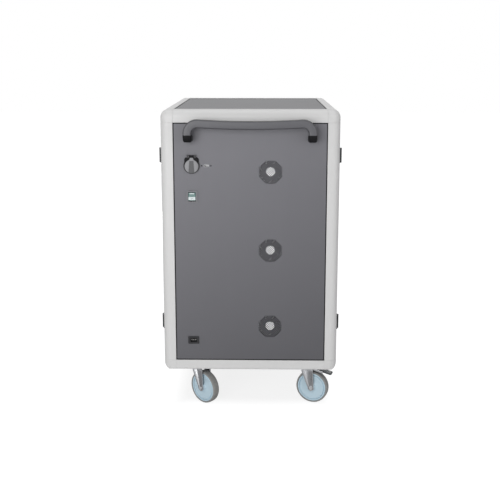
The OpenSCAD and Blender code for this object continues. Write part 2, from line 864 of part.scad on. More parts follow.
module power_strips() {
  front = partition_x + adapter_wall_t;
  color(moulded_black) placed() for (i = [0 : tiers - 1]) translate([0, 0, shelf_top(i) + strip_rise])
    difference() {
      translate([front, -strip_w / 2, -strip_h / 2]) cube([strip_t, strip_w, strip_h]);
      for (k = [0 : bays - 1]) translate([0, (k + 0.5) * outlet_pitch - strip_w / 2, 0])
        rod_x(outlet_r, front + strip_t - outlet_depth, front + strip_t + overrun);
    }
}

// Door pan for the right-hand side: a sheet with four folded edges and two fields of slots
module door_pan() {
  outer = half_w - door_recess;
  h = door_high - door_low;
  sideways(outer - door_skin, door_skin) difference() {
    translate([-door_half, door_low]) square([2 * door_half, h]);
    translate([lock_y, door_mid]) circle(case_barrel_r + fit_gap);
    for (z = [0, 1], k = [0 : door_slot_rows - 1], c = [0 : door_slot_columns - 1])
      translate([
        (c - (door_slot_columns - 1) / 2) * (door_slot_w + door_slot_pitch),
        z == 0 ? door_low + door_slot_low + k * door_slot_pitch
          : door_high - door_slot_low - k * door_slot_pitch
      ]) slot_outline(door_slot_w, door_slot_h);
  }
  translate([outer - door_t, 0, 0]) {
    for (y = [0, 1]) mirror([0, y, 0])
      translate([0, -door_half, door_low]) cube([door_t - door_skin, door_skin, h]);
    translate([0, door_skin - door_half, door_low])
      cube([door_t - door_skin, 2 * (door_half - door_skin), door_skin]);
    translate([0, door_skin - door_half, door_high - door_skin])
      cube([door_t - door_skin, 2 * (door_half - door_skin), door_skin]);
  }
}

module door_left() {
  color(sheet_grey) on_side(-1) door_pan();
}

module door_right() {
  color(sheet_grey) on_side(1) door_pan();
}

module at_hinges() {
  for (z = [lower_hinge_z, upper_hinge_z]) translate([hinge_x, hinge_y, z]) children();
}

// Leaf on the post, with the outer knuckles and the pin
module fixed_leaf() {
  third = hinge_h / 3;
  inner_x = -hinge_air - knuckle_r;
  difference() {
    union() {
      translate([inner_x, -hinge_leaf_w, -hinge_h / 2]) cube([hinge_leaf_t, hinge_leaf_w, hinge_h]);
      for (z = [-hinge_h / 2, hinge_h / 2 - third]) translate([0, 0, z]) cylinder(r = knuckle_r, h = third);
    }
    translate([0, 0, -third / 2 - fit_gap])
      cylinder(r = knuckle_r + fit_gap, h = third + 2 * fit_gap);
  }
  translate([0, 0, -hinge_h / 2 + overrun]) cylinder(r = hinge_pin_r, h = hinge_h - 2 * overrun);
}

// Leaf on the door, with the middle knuckle round the pin
module moving_leaf() {
  third = hinge_h / 3;
  inner_x = -hinge_air - knuckle_r - door_recess;
  difference() {
    union() {
      translate([inner_x, 0, -hinge_h / 2])
        cube([hinge_leaf_t + door_recess, door_leaf_w, hinge_h]);
      translate([0, 0, fit_gap - third / 2]) cylinder(r = knuckle_r, h = third - 2 * fit_gap);
    }
    translate([inner_x - overrun, -knuckle_r, -hinge_h / 2 - overrun])
      cube([hinge_leaf_t + door_recess + overrun, knuckle_r + door_gap / 2, third + overrun + fit_gap]);
    translate([inner_x - overrun, -knuckle_r, hinge_h / 2 - third - fit_gap])
      cube([hinge_leaf_t + door_recess + overrun, knuckle_r + door_gap / 2, third + overrun + fit_gap]);
    for (z = [-hinge_h / 2 - overrun, third / 2 - fit_gap]) translate([0, 0, z])
      cylinder(r = knuckle_r + fit_gap, h = third + overrun + fit_gap);
    translate([inner_x - overrun, -knuckle_r, -third / 2])
      cube([door_recess + overrun + fit_gap, knuckle_r + door_gap / 2, third]);
    translate([0, 0, -hinge_h]) cylinder(r = hinge_pin_r + run_gap, h = 2 * hinge_h);
  }
}

module hinge_brackets() {
  color("dimgray") for (s = [-1, 1]) on_side(s) at_hinges() fixed_leaf();
}

module door_hinges_left() {
  color("dimgray") on_side(-1) at_hinges() moving_leaf();
}

module door_hinges_right() {
  color("dimgray") on_side(1) at_hinges() moving_leaf();
}

// Lock case on the door's outer face, with a barrel through the sheet
module lock_case() {
  outer = half_w - door_recess;
  translate([0, lock_y, door_mid]) difference() {
    union() {
      sideways(outer, case_t) rounded_rect(case_w, case_h, case_w / 3);
      rod_x(case_barrel_r, outer - door_t, outer + overrun);
    }
    rod_x(lock_shaft_r + run_gap, outer - door_t - overrun, outer + case_t + overrun);
  }
}

module lock_case_left() {
  color(moulded_black) on_side(-1) lock_case();
}

module lock_case_right() {
  color(moulded_black) on_side(1) lock_case();
}

// Wing handle with a shaft that carries the cam
module lock_handle() {
  outer = half_w - door_recess + case_t + fit_gap;
  translate([0, lock_y, door_mid]) {
    sideways(outer, wing_t) rounded_rect(wing_w, wing_h, wing_w / 3);
    rod_x(lock_shaft_r, half_w - cam_depth - cam_t, outer + overrun);
  }
}

module lock_handle_left() {
  color(moulded_black) on_side(-1) lock_handle();
}

module lock_handle_right() {
  color(moulded_black) on_side(1) lock_handle();
}

// Cam, which hangs down when the door is free and turns behind the ledge to lock it
module lock_cam() {
  translate([0, lock_y, door_mid]) difference() {
    sideways(half_w - cam_depth - cam_t, cam_t) union() {
      circle(cam_w / 2);
      translate([-cam_w / 2, -cam_l]) square([cam_w, cam_l]);
    }
    rod_x(lock_shaft_r + run_gap, half_w - 2 * cam_depth, half_w);
  }
}

module lock_cam_left() {
  color(zinc) on_side(-1) lock_cam();
}

module lock_cam_right() {
  color(zinc) on_side(1) lock_cam();
}

// Top plates with the upper race
module caster_plates() {
  color(zinc) placed() at_casters() {
    difference() {
      translate([-plate_l / 2, -plate_w / 2, caster_h - plate_t]) cube([plate_l, plate_w, plate_t]);
      translate([0, 0, caster_h - plate_t - overrun]) at_plate_bolts()
        cylinder(r = bolt_r + run_gap, h = plate_t + 2 * overrun);
    }
    translate([0, 0, race_z]) cylinder(r = race_r, h = race_h);
  }
}

// King pin, which hangs each fork under its plate
module king_pin() {
  translate([0, 0, crown_under - race_gap]) cylinder(r = king_r, h = race_z - crown_under + race_gap);
  translate([0, 0, crown_under - race_gap - king_head_h])
    cylinder(r = king_head_r, h = king_head_h, $fn = 6);
}

module caster_bolts() {
  color(zinc) placed() at_casters() king_pin();
  color(zinc) placed() at_casters() at_plate_bolts() {
    translate([0, 0, caster_h - plate_t - bolt_head_h]) cylinder(r = bolt_head_r, h = bolt_head_h, $fn = 6);
    translate([0, 0, caster_h - plate_t - overrun])
      cylinder(r = bolt_r, h = plate_t + base_plate_t + bolt_head_h);
    translate([0, 0, caster_h + base_plate_t]) cylinder(r = bolt_head_r, h = bolt_head_h, $fn = 6);
  }
}

// Turns what is drawn with the trail along +X and the swivel axis at the origin
module at_caster(place) {
  placed() translate([place[0] * caster_x, place[1] * (half_d - caster_inset), 0])
    rotate([0, 0, place[2]]) children();
}

// Pressed fork: lower race, crown and two tapering legs
module fork() {
  leg_rear = axle_x + fork_boss_r / 2;
  difference() {
    union() {
      translate([0, 0, crown_z]) cylinder(r1 = race_low_r, r2 = race_r, h = race_low_h);
      translate([-crown_w / 2, -fork_half - fork_t, crown_under])
        cube([crown_w, 2 * (fork_half + fork_t), crown_t]);
      for (y = [0, 1]) mirror([0, y, 0]) upright(fork_half, fork_t) union() {
        polygon([
          [leg_front, crown_z], [leg_front, crown_under - crown_t],
          [axle_x - fork_boss_r, wheel_r], [axle_x + fork_boss_r, wheel_r],
          [leg_rear, crown_under - crown_t], [leg_rear, crown_z]
        ]);
        translate([axle_x, wheel_r]) circle(fork_boss_r);
      }
    }
    translate([0, 0, crown_under - overrun]) cylinder(r = king_r + run_gap, h = caster_h);
    translate([axle_x, 0, wheel_r]) rod_y(axle_r + run_gap, -2 * fork_half, 2 * fork_half);
  }
}

module fork_near_left() {
  color(zinc) at_caster(near_left) fork();
}

// A braked fork also carries the pedal's pin
module braked_fork() {
  fork();
  translate([pedal_x, 0, pedal_z]) rod_y(pedal_pin_r, -fork_half - fork_t, fork_half + fork_t);
  for (y = [0, 1]) mirror([0, y, 0]) {
    translate([0, fork_half, crown_under]) cube([pedal_x, fork_t, pedal_lug_r]);
    translate([pedal_x, 0, pedal_z]) rod_y(pedal_lug_r, fork_half, fork_half + fork_t);
  }
}

module fork_near_right() {
  color(zinc) at_caster(near_right) braked_fork();
}

module fork_far_left() {
  color(zinc) at_caster(far_left) fork();
}

module fork_far_right() {
  color(zinc) at_caster(far_right) braked_fork();
}

module axle() {
  outer = fork_half + fork_t;
  translate([axle_x, 0, wheel_r]) {
    rod_y(axle_r, -outer - overrun, outer + overrun);
    translate([0, -outer - axle_head_t, 0]) rotate([-90, 0, 0])
      cylinder(r = axle_head_r, h = axle_head_t, $fn = 6);
    translate([0, outer, 0]) rotate([-90, 0, 0]) cylinder(r = axle_head_r, h = axle_head_t, $fn = 6);
  }
}

module axle_near_left() {
  color(zinc) at_caster(near_left) axle();
}

module axle_near_right() {
  color(zinc) at_caster(near_right) axle();
}

module axle_far_left() {
  color(zinc) at_caster(far_left) axle();
}

module axle_far_right() {
  color(zinc) at_caster(far_right) axle();
}

// Hub with a bearing boss, a dished web with one groove, and a rim for the tyre
module hub() {
  boss = fork_half - fit_gap;
  web = hub_disc_t / 2;
  rim = tread_w / 2 - hub_groove_t / 2;
  // One side of the profile, as radius and distance from the wheel's middle
  side = [
    [hub_bore_r, boss], [hub_boss_r - hub_groove_t, boss], [hub_boss_r, boss - hub_groove_t],
    [hub_boss_r, web], [hub_r - 4 * hub_groove_t, web + hub_groove_t / 2],
    [hub_r - 3 * hub_groove_t, web - hub_groove_t], [hub_r - 2 * hub_groove_t, web],
    [hub_r - hub_groove_t, rim], [hub_r, rim]
  ];
  other = [for (i = [len(side) - 1 : -1 : 0]) [side[i][0], -side[i][1]]];
  translate([axle_x, 0, wheel_r]) rotate([-90, 0, 0])
    rotate_extrude($fn = fine_fn) polygon(concat(side, other));
}

module tyre() {
  side = tread_w / 2;
  translate([axle_x, 0, wheel_r]) rotate([-90, 0, 0]) rotate_extrude($fn = fine_fn) difference() {
    translate([hub_r, -side]) square([wheel_r - hub_r, tread_w]);
    for (s = [0, 1]) mirror([0, s]) translate([wheel_r - tyre_shoulder, side - tyre_shoulder])
      difference() {
        square(tyre_shoulder + overrun);
        circle(tyre_shoulder);
      }
  }
}

module hub_near_left() {
  color(hub_blue) at_caster(near_left) hub();
}

module hub_near_right() {
  color(hub_blue) at_caster(near_right) hub();
}

module hub_far_left() {
  color(hub_blue) at_caster(far_left) hub();
}

module hub_far_right() {
  color(hub_blue) at_caster(far_right) hub();
}

module tyre_near_left() {
  color(tyre_grey) at_caster(near_left) tyre();
}

module tyre_near_right() {
  color(tyre_grey) at_caster(near_right) tyre();
}

module tyre_far_left() {
  color(tyre_grey) at_caster(far_left) tyre();
}

module tyre_far_right() {
  color(tyre_grey) at_caster(far_right) tyre();
}

// Brake pedal: a barrel round the pin, and a sloping plate past the wheel
module brake_pedal() {
  inner = fork_half - fit_gap;
  translate([pedal_x, 0, pedal_z]) rotate([0, pedal_slope, 0]) difference() {
    union() {
      rod_y(pedal_lug_r, -inner, inner);
      translate([0, -pedal_w / 2, pedal_lug_r - pedal_t]) cube([pedal_l, pedal_w, pedal_t]);
      translate([pedal_l, 0, pedal_lug_r - pedal_t / 2]) rod_y(pedal_t / 2, -pedal_w / 2, pedal_w / 2);
    }
    rod_y(pedal_pin_r + run_gap, -2 * inner, 2 * inner);
  }
}

module brake_near_right() {
  color("darkslategray") at_caster(near_right) brake_pedal();
}

module brake_far_right() {
  color("darkslategray") at_caster(far_right) brake_pedal();
}

corner_posts();
post_ledges();
top_beams();
base_beams();
top_corners();
base_corners();
service_panel();
far_panel();
top_panel();
base_plate();
push_handle();
handle_bolts();
socket_housing();
socket_lid();
data_port();
port_screws();
switch_bezel();
switch_rocker();
mains_inlet();
power_box();
fan_frames();
fan_rotor_lower();
fan_rotor_middle();
fan_rotor_upper();
shelves();
shelf_brackets();
bay_dividers();
adapter_walls();
power_strips();
door_left();
door_right();
hinge_brackets();
door_hinges_left();
door_hinges_right();
lock_case_left();
lock_case_right();
lock_handle_left();
lock_handle_right();
lock_cam_left();
lock_cam_right();
caster_plates();
caster_bolts();
fork_near_left();
fork_near_right();
fork_far_left();
fork_far_right();
axle_near_left();
axle_near_right();
axle_far_left();
axle_far_right();
hub_near_left();
hub_near_right();
hub_far_left();
hub_far_right();
tyre_near_left();
tyre_near_right();
tyre_far_left();
tyre_far_right();
brake_near_right();
brake_far_right();
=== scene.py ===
# %% [markdown]
# A laptop charging cart is a steel cabinet on four swivel casters. Light grey frame members run round every
# edge, dark sheets fill the openings, and one end carries a push handle, three fans, a socket and a switch.
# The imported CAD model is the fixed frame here. This script dresses it: some CAD nodes keep their shape and
# only get a finish, others are replaced by pieces with the bends, rims and grooves of the real ones.

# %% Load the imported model
import json
from math import atan2, cos, pi, radians, sin

import bmesh
import bpy
from mathutils import Matrix, Vector


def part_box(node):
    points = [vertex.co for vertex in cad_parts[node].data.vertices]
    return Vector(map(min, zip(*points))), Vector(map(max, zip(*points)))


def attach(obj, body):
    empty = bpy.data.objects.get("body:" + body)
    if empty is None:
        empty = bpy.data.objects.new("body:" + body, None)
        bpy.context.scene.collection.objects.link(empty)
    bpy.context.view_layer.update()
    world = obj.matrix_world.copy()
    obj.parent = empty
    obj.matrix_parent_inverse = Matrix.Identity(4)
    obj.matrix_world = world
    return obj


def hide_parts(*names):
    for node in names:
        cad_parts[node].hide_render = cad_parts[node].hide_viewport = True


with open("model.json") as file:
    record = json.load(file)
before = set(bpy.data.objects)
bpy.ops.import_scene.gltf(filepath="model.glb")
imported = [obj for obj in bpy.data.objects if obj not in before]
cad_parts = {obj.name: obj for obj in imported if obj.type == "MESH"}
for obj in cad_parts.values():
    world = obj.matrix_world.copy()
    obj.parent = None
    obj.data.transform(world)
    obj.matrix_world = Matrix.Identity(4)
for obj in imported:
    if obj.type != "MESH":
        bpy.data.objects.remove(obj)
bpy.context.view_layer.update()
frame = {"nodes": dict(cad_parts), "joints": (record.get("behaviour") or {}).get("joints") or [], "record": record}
mm = 0.001
body_of = {node: body for body, nodes in frame["record"]["behaviour"]["bodies"].items() for node in nodes}
slot_of = {part["node"]: part["material_slot"] for part in frame["record"]["subparts"]}
joints = {joint["name"]: joint for joint in frame["joints"]}

# %% [markdown]
# The main levels of the cabinet are read from the CAD nodes' boxes, so that every piece made here stays on
# what carries it when the CAD model changes.

# %% Measure the cabinet
cabinet_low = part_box("base_corners")[0]
cabinet_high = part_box("top_corners")[1]
panel_low, panel_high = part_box("service_panel")
panel_front = panel_low.y
middle_y = (cabinet_low.y + cabinet_high.y) / 2
print("cabinet", [round(v, 4) for v in (*cabinet_low, *cabinet_high)], "panel front", round(panel_front, 4))

# %% [markdown]
# The photograph looks at the service end from just above the top, slightly from the right, with a lens of
# about 58 mm on a 36 mm frame. The camera tips down by ten degrees, and a small shift brings the cabinet up
# in the picture while the posts keep their slight taper.

# %% Set up the camera
camera_data = bpy.data.cameras.new("camera")
camera_data.sensor_width = 36
picture_px, focal_px = 500, 800
camera_data.lens = camera_data.sensor_width * focal_px / picture_px
camera_data.shift_y = -0.12
camera_data.clip_end = 60
camera = bpy.data.objects.new("camera", camera_data)
camera.location = (0.0505, -3.2002, 1.350)
camera.rotation_euler = (radians(90 - 9.979), 0, radians(1.024))
bpy.context.scene.collection.objects.link(camera)
bpy.context.scene.camera = camera
bpy.context.scene.view_settings.view_transform = "Standard"
print("camera at", [round(v, 3) for v in camera.location], "lens", camera_data.lens)

# %% [markdown]
# Shader maths is easier to read as arithmetic. A Wire is one output of a node, and adding, subtracting or
# multiplying wires makes the Math nodes. Nodes holds a node tree, and its one method makes every other kind
# of node from a type, its settings and its inputs. A Finish is a material built on such a tree.

# %% Wires and finishes
class Wire:
    def __init__(self, nodes, socket):
        self.nodes = nodes
        self.socket = socket

    def maths(self, operation, other, swapped=False):
        pair = {0: other, 1: self} if swapped else {0: self, 1: other}
        return self.nodes.node("ShaderNodeMath", {"operation": operation}, pair)

    def __add__(self, other):
        return self.maths("ADD", other)

    def __sub__(self, other):
        return self.maths("SUBTRACT", other)

    def __rsub__(self, other):
        return self.maths("SUBTRACT", other, True)

    def __mul__(self, other):
        return self.maths("MULTIPLY", other)

    __radd__ = __add__
    __rmul__ = __mul__

    def limited(self, low=0.0, high=1.0):
        return self.maths("MAXIMUM", low).maths("MINIMUM", high)


class Nodes:
    def __init__(self, tree):
        self.tree = tree

    def node(self, kind, settings, inputs, output=0):
        made = self.tree.nodes.new(kind)
        for key, value in settings.items():
            if key == "stops":
                for i, (at, level) in enumerate(value):
                    stop = made.color_ramp.elements[i] if i < 2 else made.color_ramp.elements.new(at)
                    stop.position, stop.color = at, (level, level, level, 1)
            else:
                setattr(made, key, value)
        for key, value in inputs.items():
            if isinstance(value, Wire):
                self.tree.links.new(value.socket, made.inputs[key])
            else:
                made.inputs[key].default_value = value
        return Wire(self, made.outputs[output])

    def into(self, wire, node, socket):
        self.tree.links.new(wire.socket, self.tree.nodes[node].inputs[socket])

    def part_of(self, vector, axis):
        return self.node("ShaderNodeSeparateXYZ", {}, {0: vector}, axis)

    def ramp(self, share, low, high):
        return self.node("ShaderNodeValToRGB", {"stops": ((low, 0.0), (high, 1.0))}, {"Fac": share})

    def tint(self, share, first, second):
        first = first if isinstance(first, Wire) else (*first, 1)
        second = second if isinstance(second, Wire) else (*second, 1)
        return self.node("ShaderNodeMix", {"data_type": "RGBA"}, {0: share, 6: first, 7: second}, 2)


class Finish(Nodes):
    def __init__(self, name, **constants):
        self.material = bpy.data.materials.new(name)
        self.material.use_nodes = True
        super().__init__(self.material.node_tree)
        self.shader = self.tree.nodes["Principled BSDF"]
        for socket, value in constants.items():
            self.shader.inputs[socket.replace("_", " ")].default_value = value
        self.place = self.node("ShaderNodeTexCoord", {}, {}, "Object")

    def noise(self, scale, detail=2.0, stretch=(1, 1, 1)):
        place = self.node("ShaderNodeMapping", {}, {"Vector": self.place, "Scale": stretch})
        return self.node("ShaderNodeTexNoise", {}, {"Vector": place, "Scale": scale, "Detail": detail})

    def paint(self, colour, roughness, height, depth, distance, metallic=None):
        bump = self.node("ShaderNodeBump", {}, {"Height": height, "Strength": depth, "Distance": distance})
        sockets = {"Base Color": colour, "Roughness": roughness, "Normal": bump, "Metallic": metallic}
        for socket, wire in sockets.items():
            if wire:
                self.into(wire, "Principled BSDF", socket)
        return self.material


def shade(tone, by):
    return tuple(min(1.0, channel * by) for channel in tone)


print("shader kit ready")

# %% [markdown]
# Powder coat is melted plastic powder. Close up its surface is pebbled like orange peel, and where the oven
# was uneven the tone drifts a little. The frame has a smooth satin coat, and the sheets a finer, grainy one
# with darker specks. Both get faint vertical streaks where hands and sleeves rub them. The upright sheets
# also get painted shade, darker towards the foot and the right side. The deck has the same dark coat, and
# looks paler only because the bright room mirrors in it at a low angle.

# %% Powder coats
def powder_coat(name, tone, roughness, peel, grain, drift, foot_shade=0.0):
    finish = Finish(name, Specular_IOR_Level=0.4)
    cloud = finish.noise(2.2, 4.0)
    streak = finish.noise(16.0, 3.0, (1, 1, 0.08))
    pebble = finish.noise(peel, 2.0)
    speck = finish.noise(grain, 1.0)
    base = finish.tint(cloud, shade(tone, 1 - drift), shade(tone, 1 + drift))
    rubbed = finish.tint(finish.ramp(streak, 0.52, 0.75) * 0.35, base, shade(tone, 1 + 2.2 * drift))
    coloured = finish.tint(finish.ramp(speck, 0.35, 0.75) * 0.5, rubbed, shade(tone, 1 - 3.4 * drift))
    # Painted shade: the upright sheets darken towards the foot and the right side, with a little noise.
    if foot_shade:
        height = finish.part_of(finish.place, "Z")
        across = finish.part_of(finish.place, "X")
        unshaded_share = (finish.ramp(height, 0.15, 1.15) + cloud * 0.12 - across * 0.45 - 0.06).limited()
        coloured = finish.tint(unshaded_share, shade(tone, 1 - foot_shade), coloured)
    gloss = cloud * 0.10 + pebble * 0.06 + (roughness - 0.08)
    return finish.paint(coloured, gloss.limited(), pebble + speck * 0.5, 0.16, 0.6 * mm)


frame_coat = powder_coat("frame powder coat", (0.612, 0.610, 0.604), 0.42, 420, 1500, 0.012)
# The sheet coat carries painted shade towards its foot and its right side.
sheet_coat = powder_coat("sheet powder coat", (0.160, 0.159, 0.174), 0.50, 620, 1900, 0.040, 0.43)
deck_coat = powder_coat("deck powder coat", (0.150, 0.150, 0.156), 0.53, 620, 1900, 0.040)
# The dark coat of the hinges also serves as painted shade inside the frame's openings and on the ledges.
hinge_coat_and_painted_shade = powder_coat("hinge coat and painted shade", (0.040, 0.041, 0.044), 0.40, 500, 1500, 0.050)
inner_coat = powder_coat("inner sheet coat", (0.310, 0.312, 0.325), 0.50, 620, 1900, 0.030)
print("coats", len(bpy.data.materials))

# %% [markdown]
# Moulded plastic keeps the texture of its mould: fine even grain on grips and housings, almost none on the
# lid. The sheen varies where it has been handled, so roughness follows a slow noise. The push handle gets
# painted shade round its edges and where its legs turn back to the panel, for the dark room that they
# mirror, and the shade grows with how far behind its front a point is. The foil on a fan's hub is lit
# through the holes, and a faint glow of its own, painted light, stands in for that light.

# %% Moulded plastics
def moulded(name, tone, roughness, grain=900, depth=0.12, drift=0.06, front=None, **constants):
    finish = Finish(name, **{"Specular_IOR_Level": 0.45, **constants})
    cloud = finish.noise(9.0, 3.0)
    texture = finish.noise(grain, 2.0)
    flow = finish.noise(40.0, 2.0, (0.2, 1, 1))
    base = finish.tint(cloud, shade(tone, 1 - drift), shade(tone, 1 + drift))
    coloured = finish.tint(finish.ramp(flow, 0.55, 0.80) * 0.3, base, shade(tone, 1 + 2 * drift))
    # Painted shade: the tone darkens with the distance behind the front face, so round edges and bends back
    # towards the panel turn dark.
    if front is not None:
        behind = (finish.part_of(finish.place, "Y") - front) * 100
        coloured = finish.tint(finish.ramp(behind, 0.04, 0.42), coloured, shade(tone, 0.12))
    gloss = cloud * 0.12 + texture * 0.05 + (roughness - 0.08)
    return finish.paint(coloured, gloss.limited(), texture, depth, 0.3 * mm)


coats = len(bpy.data.materials)
grip_plastic = moulded("grip plastic", (0.082, 0.082, 0.087), 0.28, 900, 0.05)
# The push handle's plastic, with painted shade round its edges.
handle_plastic = moulded("handle plastic", (0.090, 0.090, 0.099), 0.40, 900, 0.05,
                         front=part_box("push_handle")[0].y)
# Black plastic of the socket, also used as painted shade for the lips in the gaps and the handle's feet.
black_plastic_and_painted_shade = moulded("socket plastic and painted shade", (0.008, 0.008, 0.009), 0.52, Specular_IOR_Level=0.12)
lid_plastic = moulded("lid plastic", (0.240, 0.240, 0.250), 0.42, 700, 0.06)
# Darker plastic for the lid's finger recess, as painted shade.
lid_recess_painted_shade = moulded("lid recess painted shade", (0.085, 0.086, 0.090), 0.50)
fitting_plastic = moulded("fitting plastic", (0.014, 0.014, 0.016), 0.40)
bezel_plastic = moulded("switch bezel plastic", (0.150, 0.150, 0.160), 0.40)
rocker_plastic = moulded("rocker plastic", (0.075, 0.160, 0.148), 0.26, 500, 0.03)
# Pale plastic for painted highlights on the rocker.
painted_highlight_plastic = moulded("painted highlight plastic", (0.560, 0.620, 0.620), 0.35, 500, 0.03)
divider_plastic = moulded("divider plastic", (0.640, 0.640, 0.625), 0.45, 600, 0.08, 0.03)
rotor_plastic = moulded("rotor plastic", (0.020, 0.020, 0.022), 0.45)
# The foil's glow is painted light, for the light that reaches it through the holes.
hub_foil_with_painted_glow = moulded("rotor hub foil with painted glow", (0.880, 0.880, 0.870), 0.45, 600, 0.04, 0.03,
                   Emission_Color=(1, 1, 1, 1), Emission_Strength=0.45)
pedal_plastic = moulded("pedal plastic", (0.034, 0.040, 0.043), 0.42)
hub_plastic = moulded("hub plastic", (0.475, 0.605, 0.680), 0.36, 500, 0.05, 0.03)
print("plastics", len(bpy.data.materials) - coats)

# %% [markdown]
# Caster forks are pressed from steel and zinc plated. Zinc looks soft grey with a faint blue cast and
# clouds of slightly duller metal, with fine rolling lines. The sides of the forks get a darker copy of the
# zinc, painted shade for the dark underside that they mirror. Contacts and bolts are smoother and brighter.
# The tyre is non marking grey rubber: matt, a bit dusty on the tread, with a faint mould texture.

# %% Metals and rubber
def plated(name, tone, roughness, lines=260, metallic=0.9):
    finish = Finish(name)
    cloud = finish.noise(28.0, 4.0)
    rolled = finish.noise(lines, 2.0, (1, 1, 0.12))
    spots = finish.noise(160.0, 3.0)
    base = finish.tint(cloud, shade(tone, 0.86), shade(tone, 1.08))
    dulled = finish.ramp(spots, 0.58, 0.72)
    coloured = finish.tint(dulled * 0.5, base, shade(tone, 0.62))
    gloss = cloud * 0.16 + rolled * 0.10 + dulled * 0.12 + (roughness - 0.12)
    return finish.paint(coloured, gloss.limited(), rolled + spots * 0.5, 0.12, 0.3 * mm,
                        dulled * -0.25 + metallic)


def rubber(name, tone):
    finish = Finish(name, Specular_IOR_Level=0.25)
    cloud = finish.noise(22.0, 4.0)
    dust = finish.noise(90.0, 4.0)
    grain = finish.noise(1100.0, 2.0)
    base = finish.tint(cloud, shade(tone, 0.90), shade(tone, 1.08))
    coloured = finish.tint(finish.ramp(dust, 0.50, 0.80) * 0.5, base, shade(tone, 1.35))
    gloss = cloud * 0.12 + dust * 0.10 + 0.62
    return finish.paint(coloured, gloss.limited(), grain + dust, 0.2, 0.4 * mm)


plastics_and_coats = len(bpy.data.materials)
zinc = plated("zinc plate", (0.480, 0.486, 0.500), 0.36)
# A darker copy of the zinc: painted shade for the dark underside that the fork sides mirror.
zinc_with_painted_shade = plated("fork zinc with painted shade", (0.290, 0.294, 0.304), 0.28)
port_metal = plated("port shell metal", (0.560, 0.562, 0.570), 0.45, 400, 0.30)
bright_metal = plated("bright contact metal", (0.780, 0.770, 0.740), 0.24, 500, 1.0)
bolt_metal = plated("bolt metal", (0.640, 0.645, 0.655), 0.30, 400)
tyre_rubber = rubber("tyre rubber", (0.250, 0.248, 0.242))
print("metals and rubber", len(bpy.data.materials) - plastics_and_coats)

# %% [markdown]
# Every new piece is built in a bmesh and ends the same way: moved to its place, doubles merged, normals
# made to point outwards, flat faces kept flat and curved ones smooth, a small bevel to ease the sharp edges
# so that they catch the light, and a ride on the CAD body that carries it. Lathe profiles are written in
# millimetres.

# %% Helpers for pieces
merge_within = 0.002 * mm


def add_piece(name, bm, finish, body, replaces=(), ease=0.0, smooth=38, segments=2, place=Matrix()):
    bmesh.ops.transform(bm, matrix=place, verts=bm.verts[:])
    bmesh.ops.remove_doubles(bm, verts=bm.verts[:], dist=merge_within)
    bmesh.ops.recalc_face_normals(bm, faces=bm.faces[:])
    for face in bm.faces:
        face.smooth = True
    for edge in bm.edges:
        edge.smooth = len(edge.link_faces) == 2 and edge.calc_face_angle(0) < radians(smooth)
    mesh = bpy.data.meshes.new(name)
    bm.to_mesh(mesh)
    bm.free()
    for material in finish if isinstance(finish, tuple) else (finish,):
        mesh.materials.append(material)
    piece = bpy.data.objects.new(name, mesh)
    bpy.context.scene.collection.objects.link(piece)
    if ease:
        bevel = piece.modifiers.new("eased edges", "BEVEL")
        bevel.width = ease
        bevel.segments = segments
        bevel.limit_method = "ANGLE"
        bevel.angle_limit = radians(smooth)
        bevel.harden_normals = True
    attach(piece, body)
    if replaces:
        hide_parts(*replaces)
    return piece


def block(bm, low, high, round_by=0.0, segments=3):
    verts = bmesh.ops.create_cube(bm, size=1.0)["verts"]
    low, high = Vector(low), Vector(high)
    size = high - low
    bmesh.ops.scale(bm, vec=size, verts=verts)
    bmesh.ops.translate(bm, vec=(low + high) / 2, verts=verts)
    if round_by:
        edges = list(dict.fromkeys(edge for vert in verts for edge in vert.link_edges))
        bmesh.ops.bevel(bm, geom=edges, offset=round_by, segments=segments, profile=0.5, affect="EDGES",
                        material=-1)


def rounded_face(bm, width, height, radius, segments=6):
    """A flat face with round corners, as the first thing in an empty bmesh."""
    verts = bmesh.ops.create_grid(bm, x_segments=1, y_segments=1, size=0.5)["verts"]
    bmesh.ops.scale(bm, vec=(width, height, 1), verts=verts)
    bmesh.ops.bevel(bm, geom=verts, offset=radius, offset_type="OFFSET", segments=segments, profile=0.5,
                    affect="VERTICES", material=-1)
    return max(bm.faces, key=lambda face: len(face.verts))


def pushed(bm, faces, vector):
    made = bmesh.ops.extrude_face_region(bm, geom=list(faces))["geom"]
    verts = [g for g in made if isinstance(g, bmesh.types.BMVert)]
    bmesh.ops.translate(bm, vec=vector, verts=verts)
    return [g for g in made if isinstance(g, bmesh.types.BMFace)]


def turned(bm, profile, place=Matrix(), steps=48):
    """Lathes (radius, height) points about Z, then places them."""
    points = [bm.verts.new((r * mm, 0, h * mm)) for r, h in profile]
    edges = [bm.edges.new(pair) for pair in zip(points, points[1:])]
    bmesh.ops.spin(bm, geom=points + edges, cent=(0, 0, 0), axis=(0, 0, 1), dvec=(0, 0, 0), angle=2 * pi,
                   steps=steps, use_merge=True, use_duplicate=False)
    joined = set(points)
    grow = set(points)
    while grow:
        grow = {e.other_vert(v) for v in grow for e in v.link_edges} - joined
        joined |= grow
    bmesh.ops.transform(bm, matrix=place, verts=list(joined))


def both_sides(half):
    """Closes a lathe profile with the mirror image of its upper half."""
    return half + [(r, -h) for r, h in reversed(half) if h] + half[:1]


def towards(axis, centre=(0, 0, 0)):
    """Stands a lathed shape's Z along an axis, at a centre."""
    turn = Vector((0, 0, 1)).rotation_difference(Vector(axis)).to_matrix().to_4x4()
    return Matrix.Translation(centre) @ turn


def merged(node):
    """A copy of a CAD node, with its loose triangles joined into whole faces."""
    bm = bmesh.new()
    bm.from_mesh(frame["nodes"][node].data)
    bmesh.ops.remove_doubles(bm, verts=bm.verts[:], dist=merge_within)
    bmesh.ops.dissolve_limit(bm, angle_limit=radians(0.5), verts=bm.verts[:], edges=bm.edges[:])
    return bm


def eased(node, finish, width):
    """A merged copy of a CAD node with its sharp edges eased."""
    return add_piece(node + "_eased", merged(node), finish, body_of[node], [node], width, 35)


print("helpers ready")
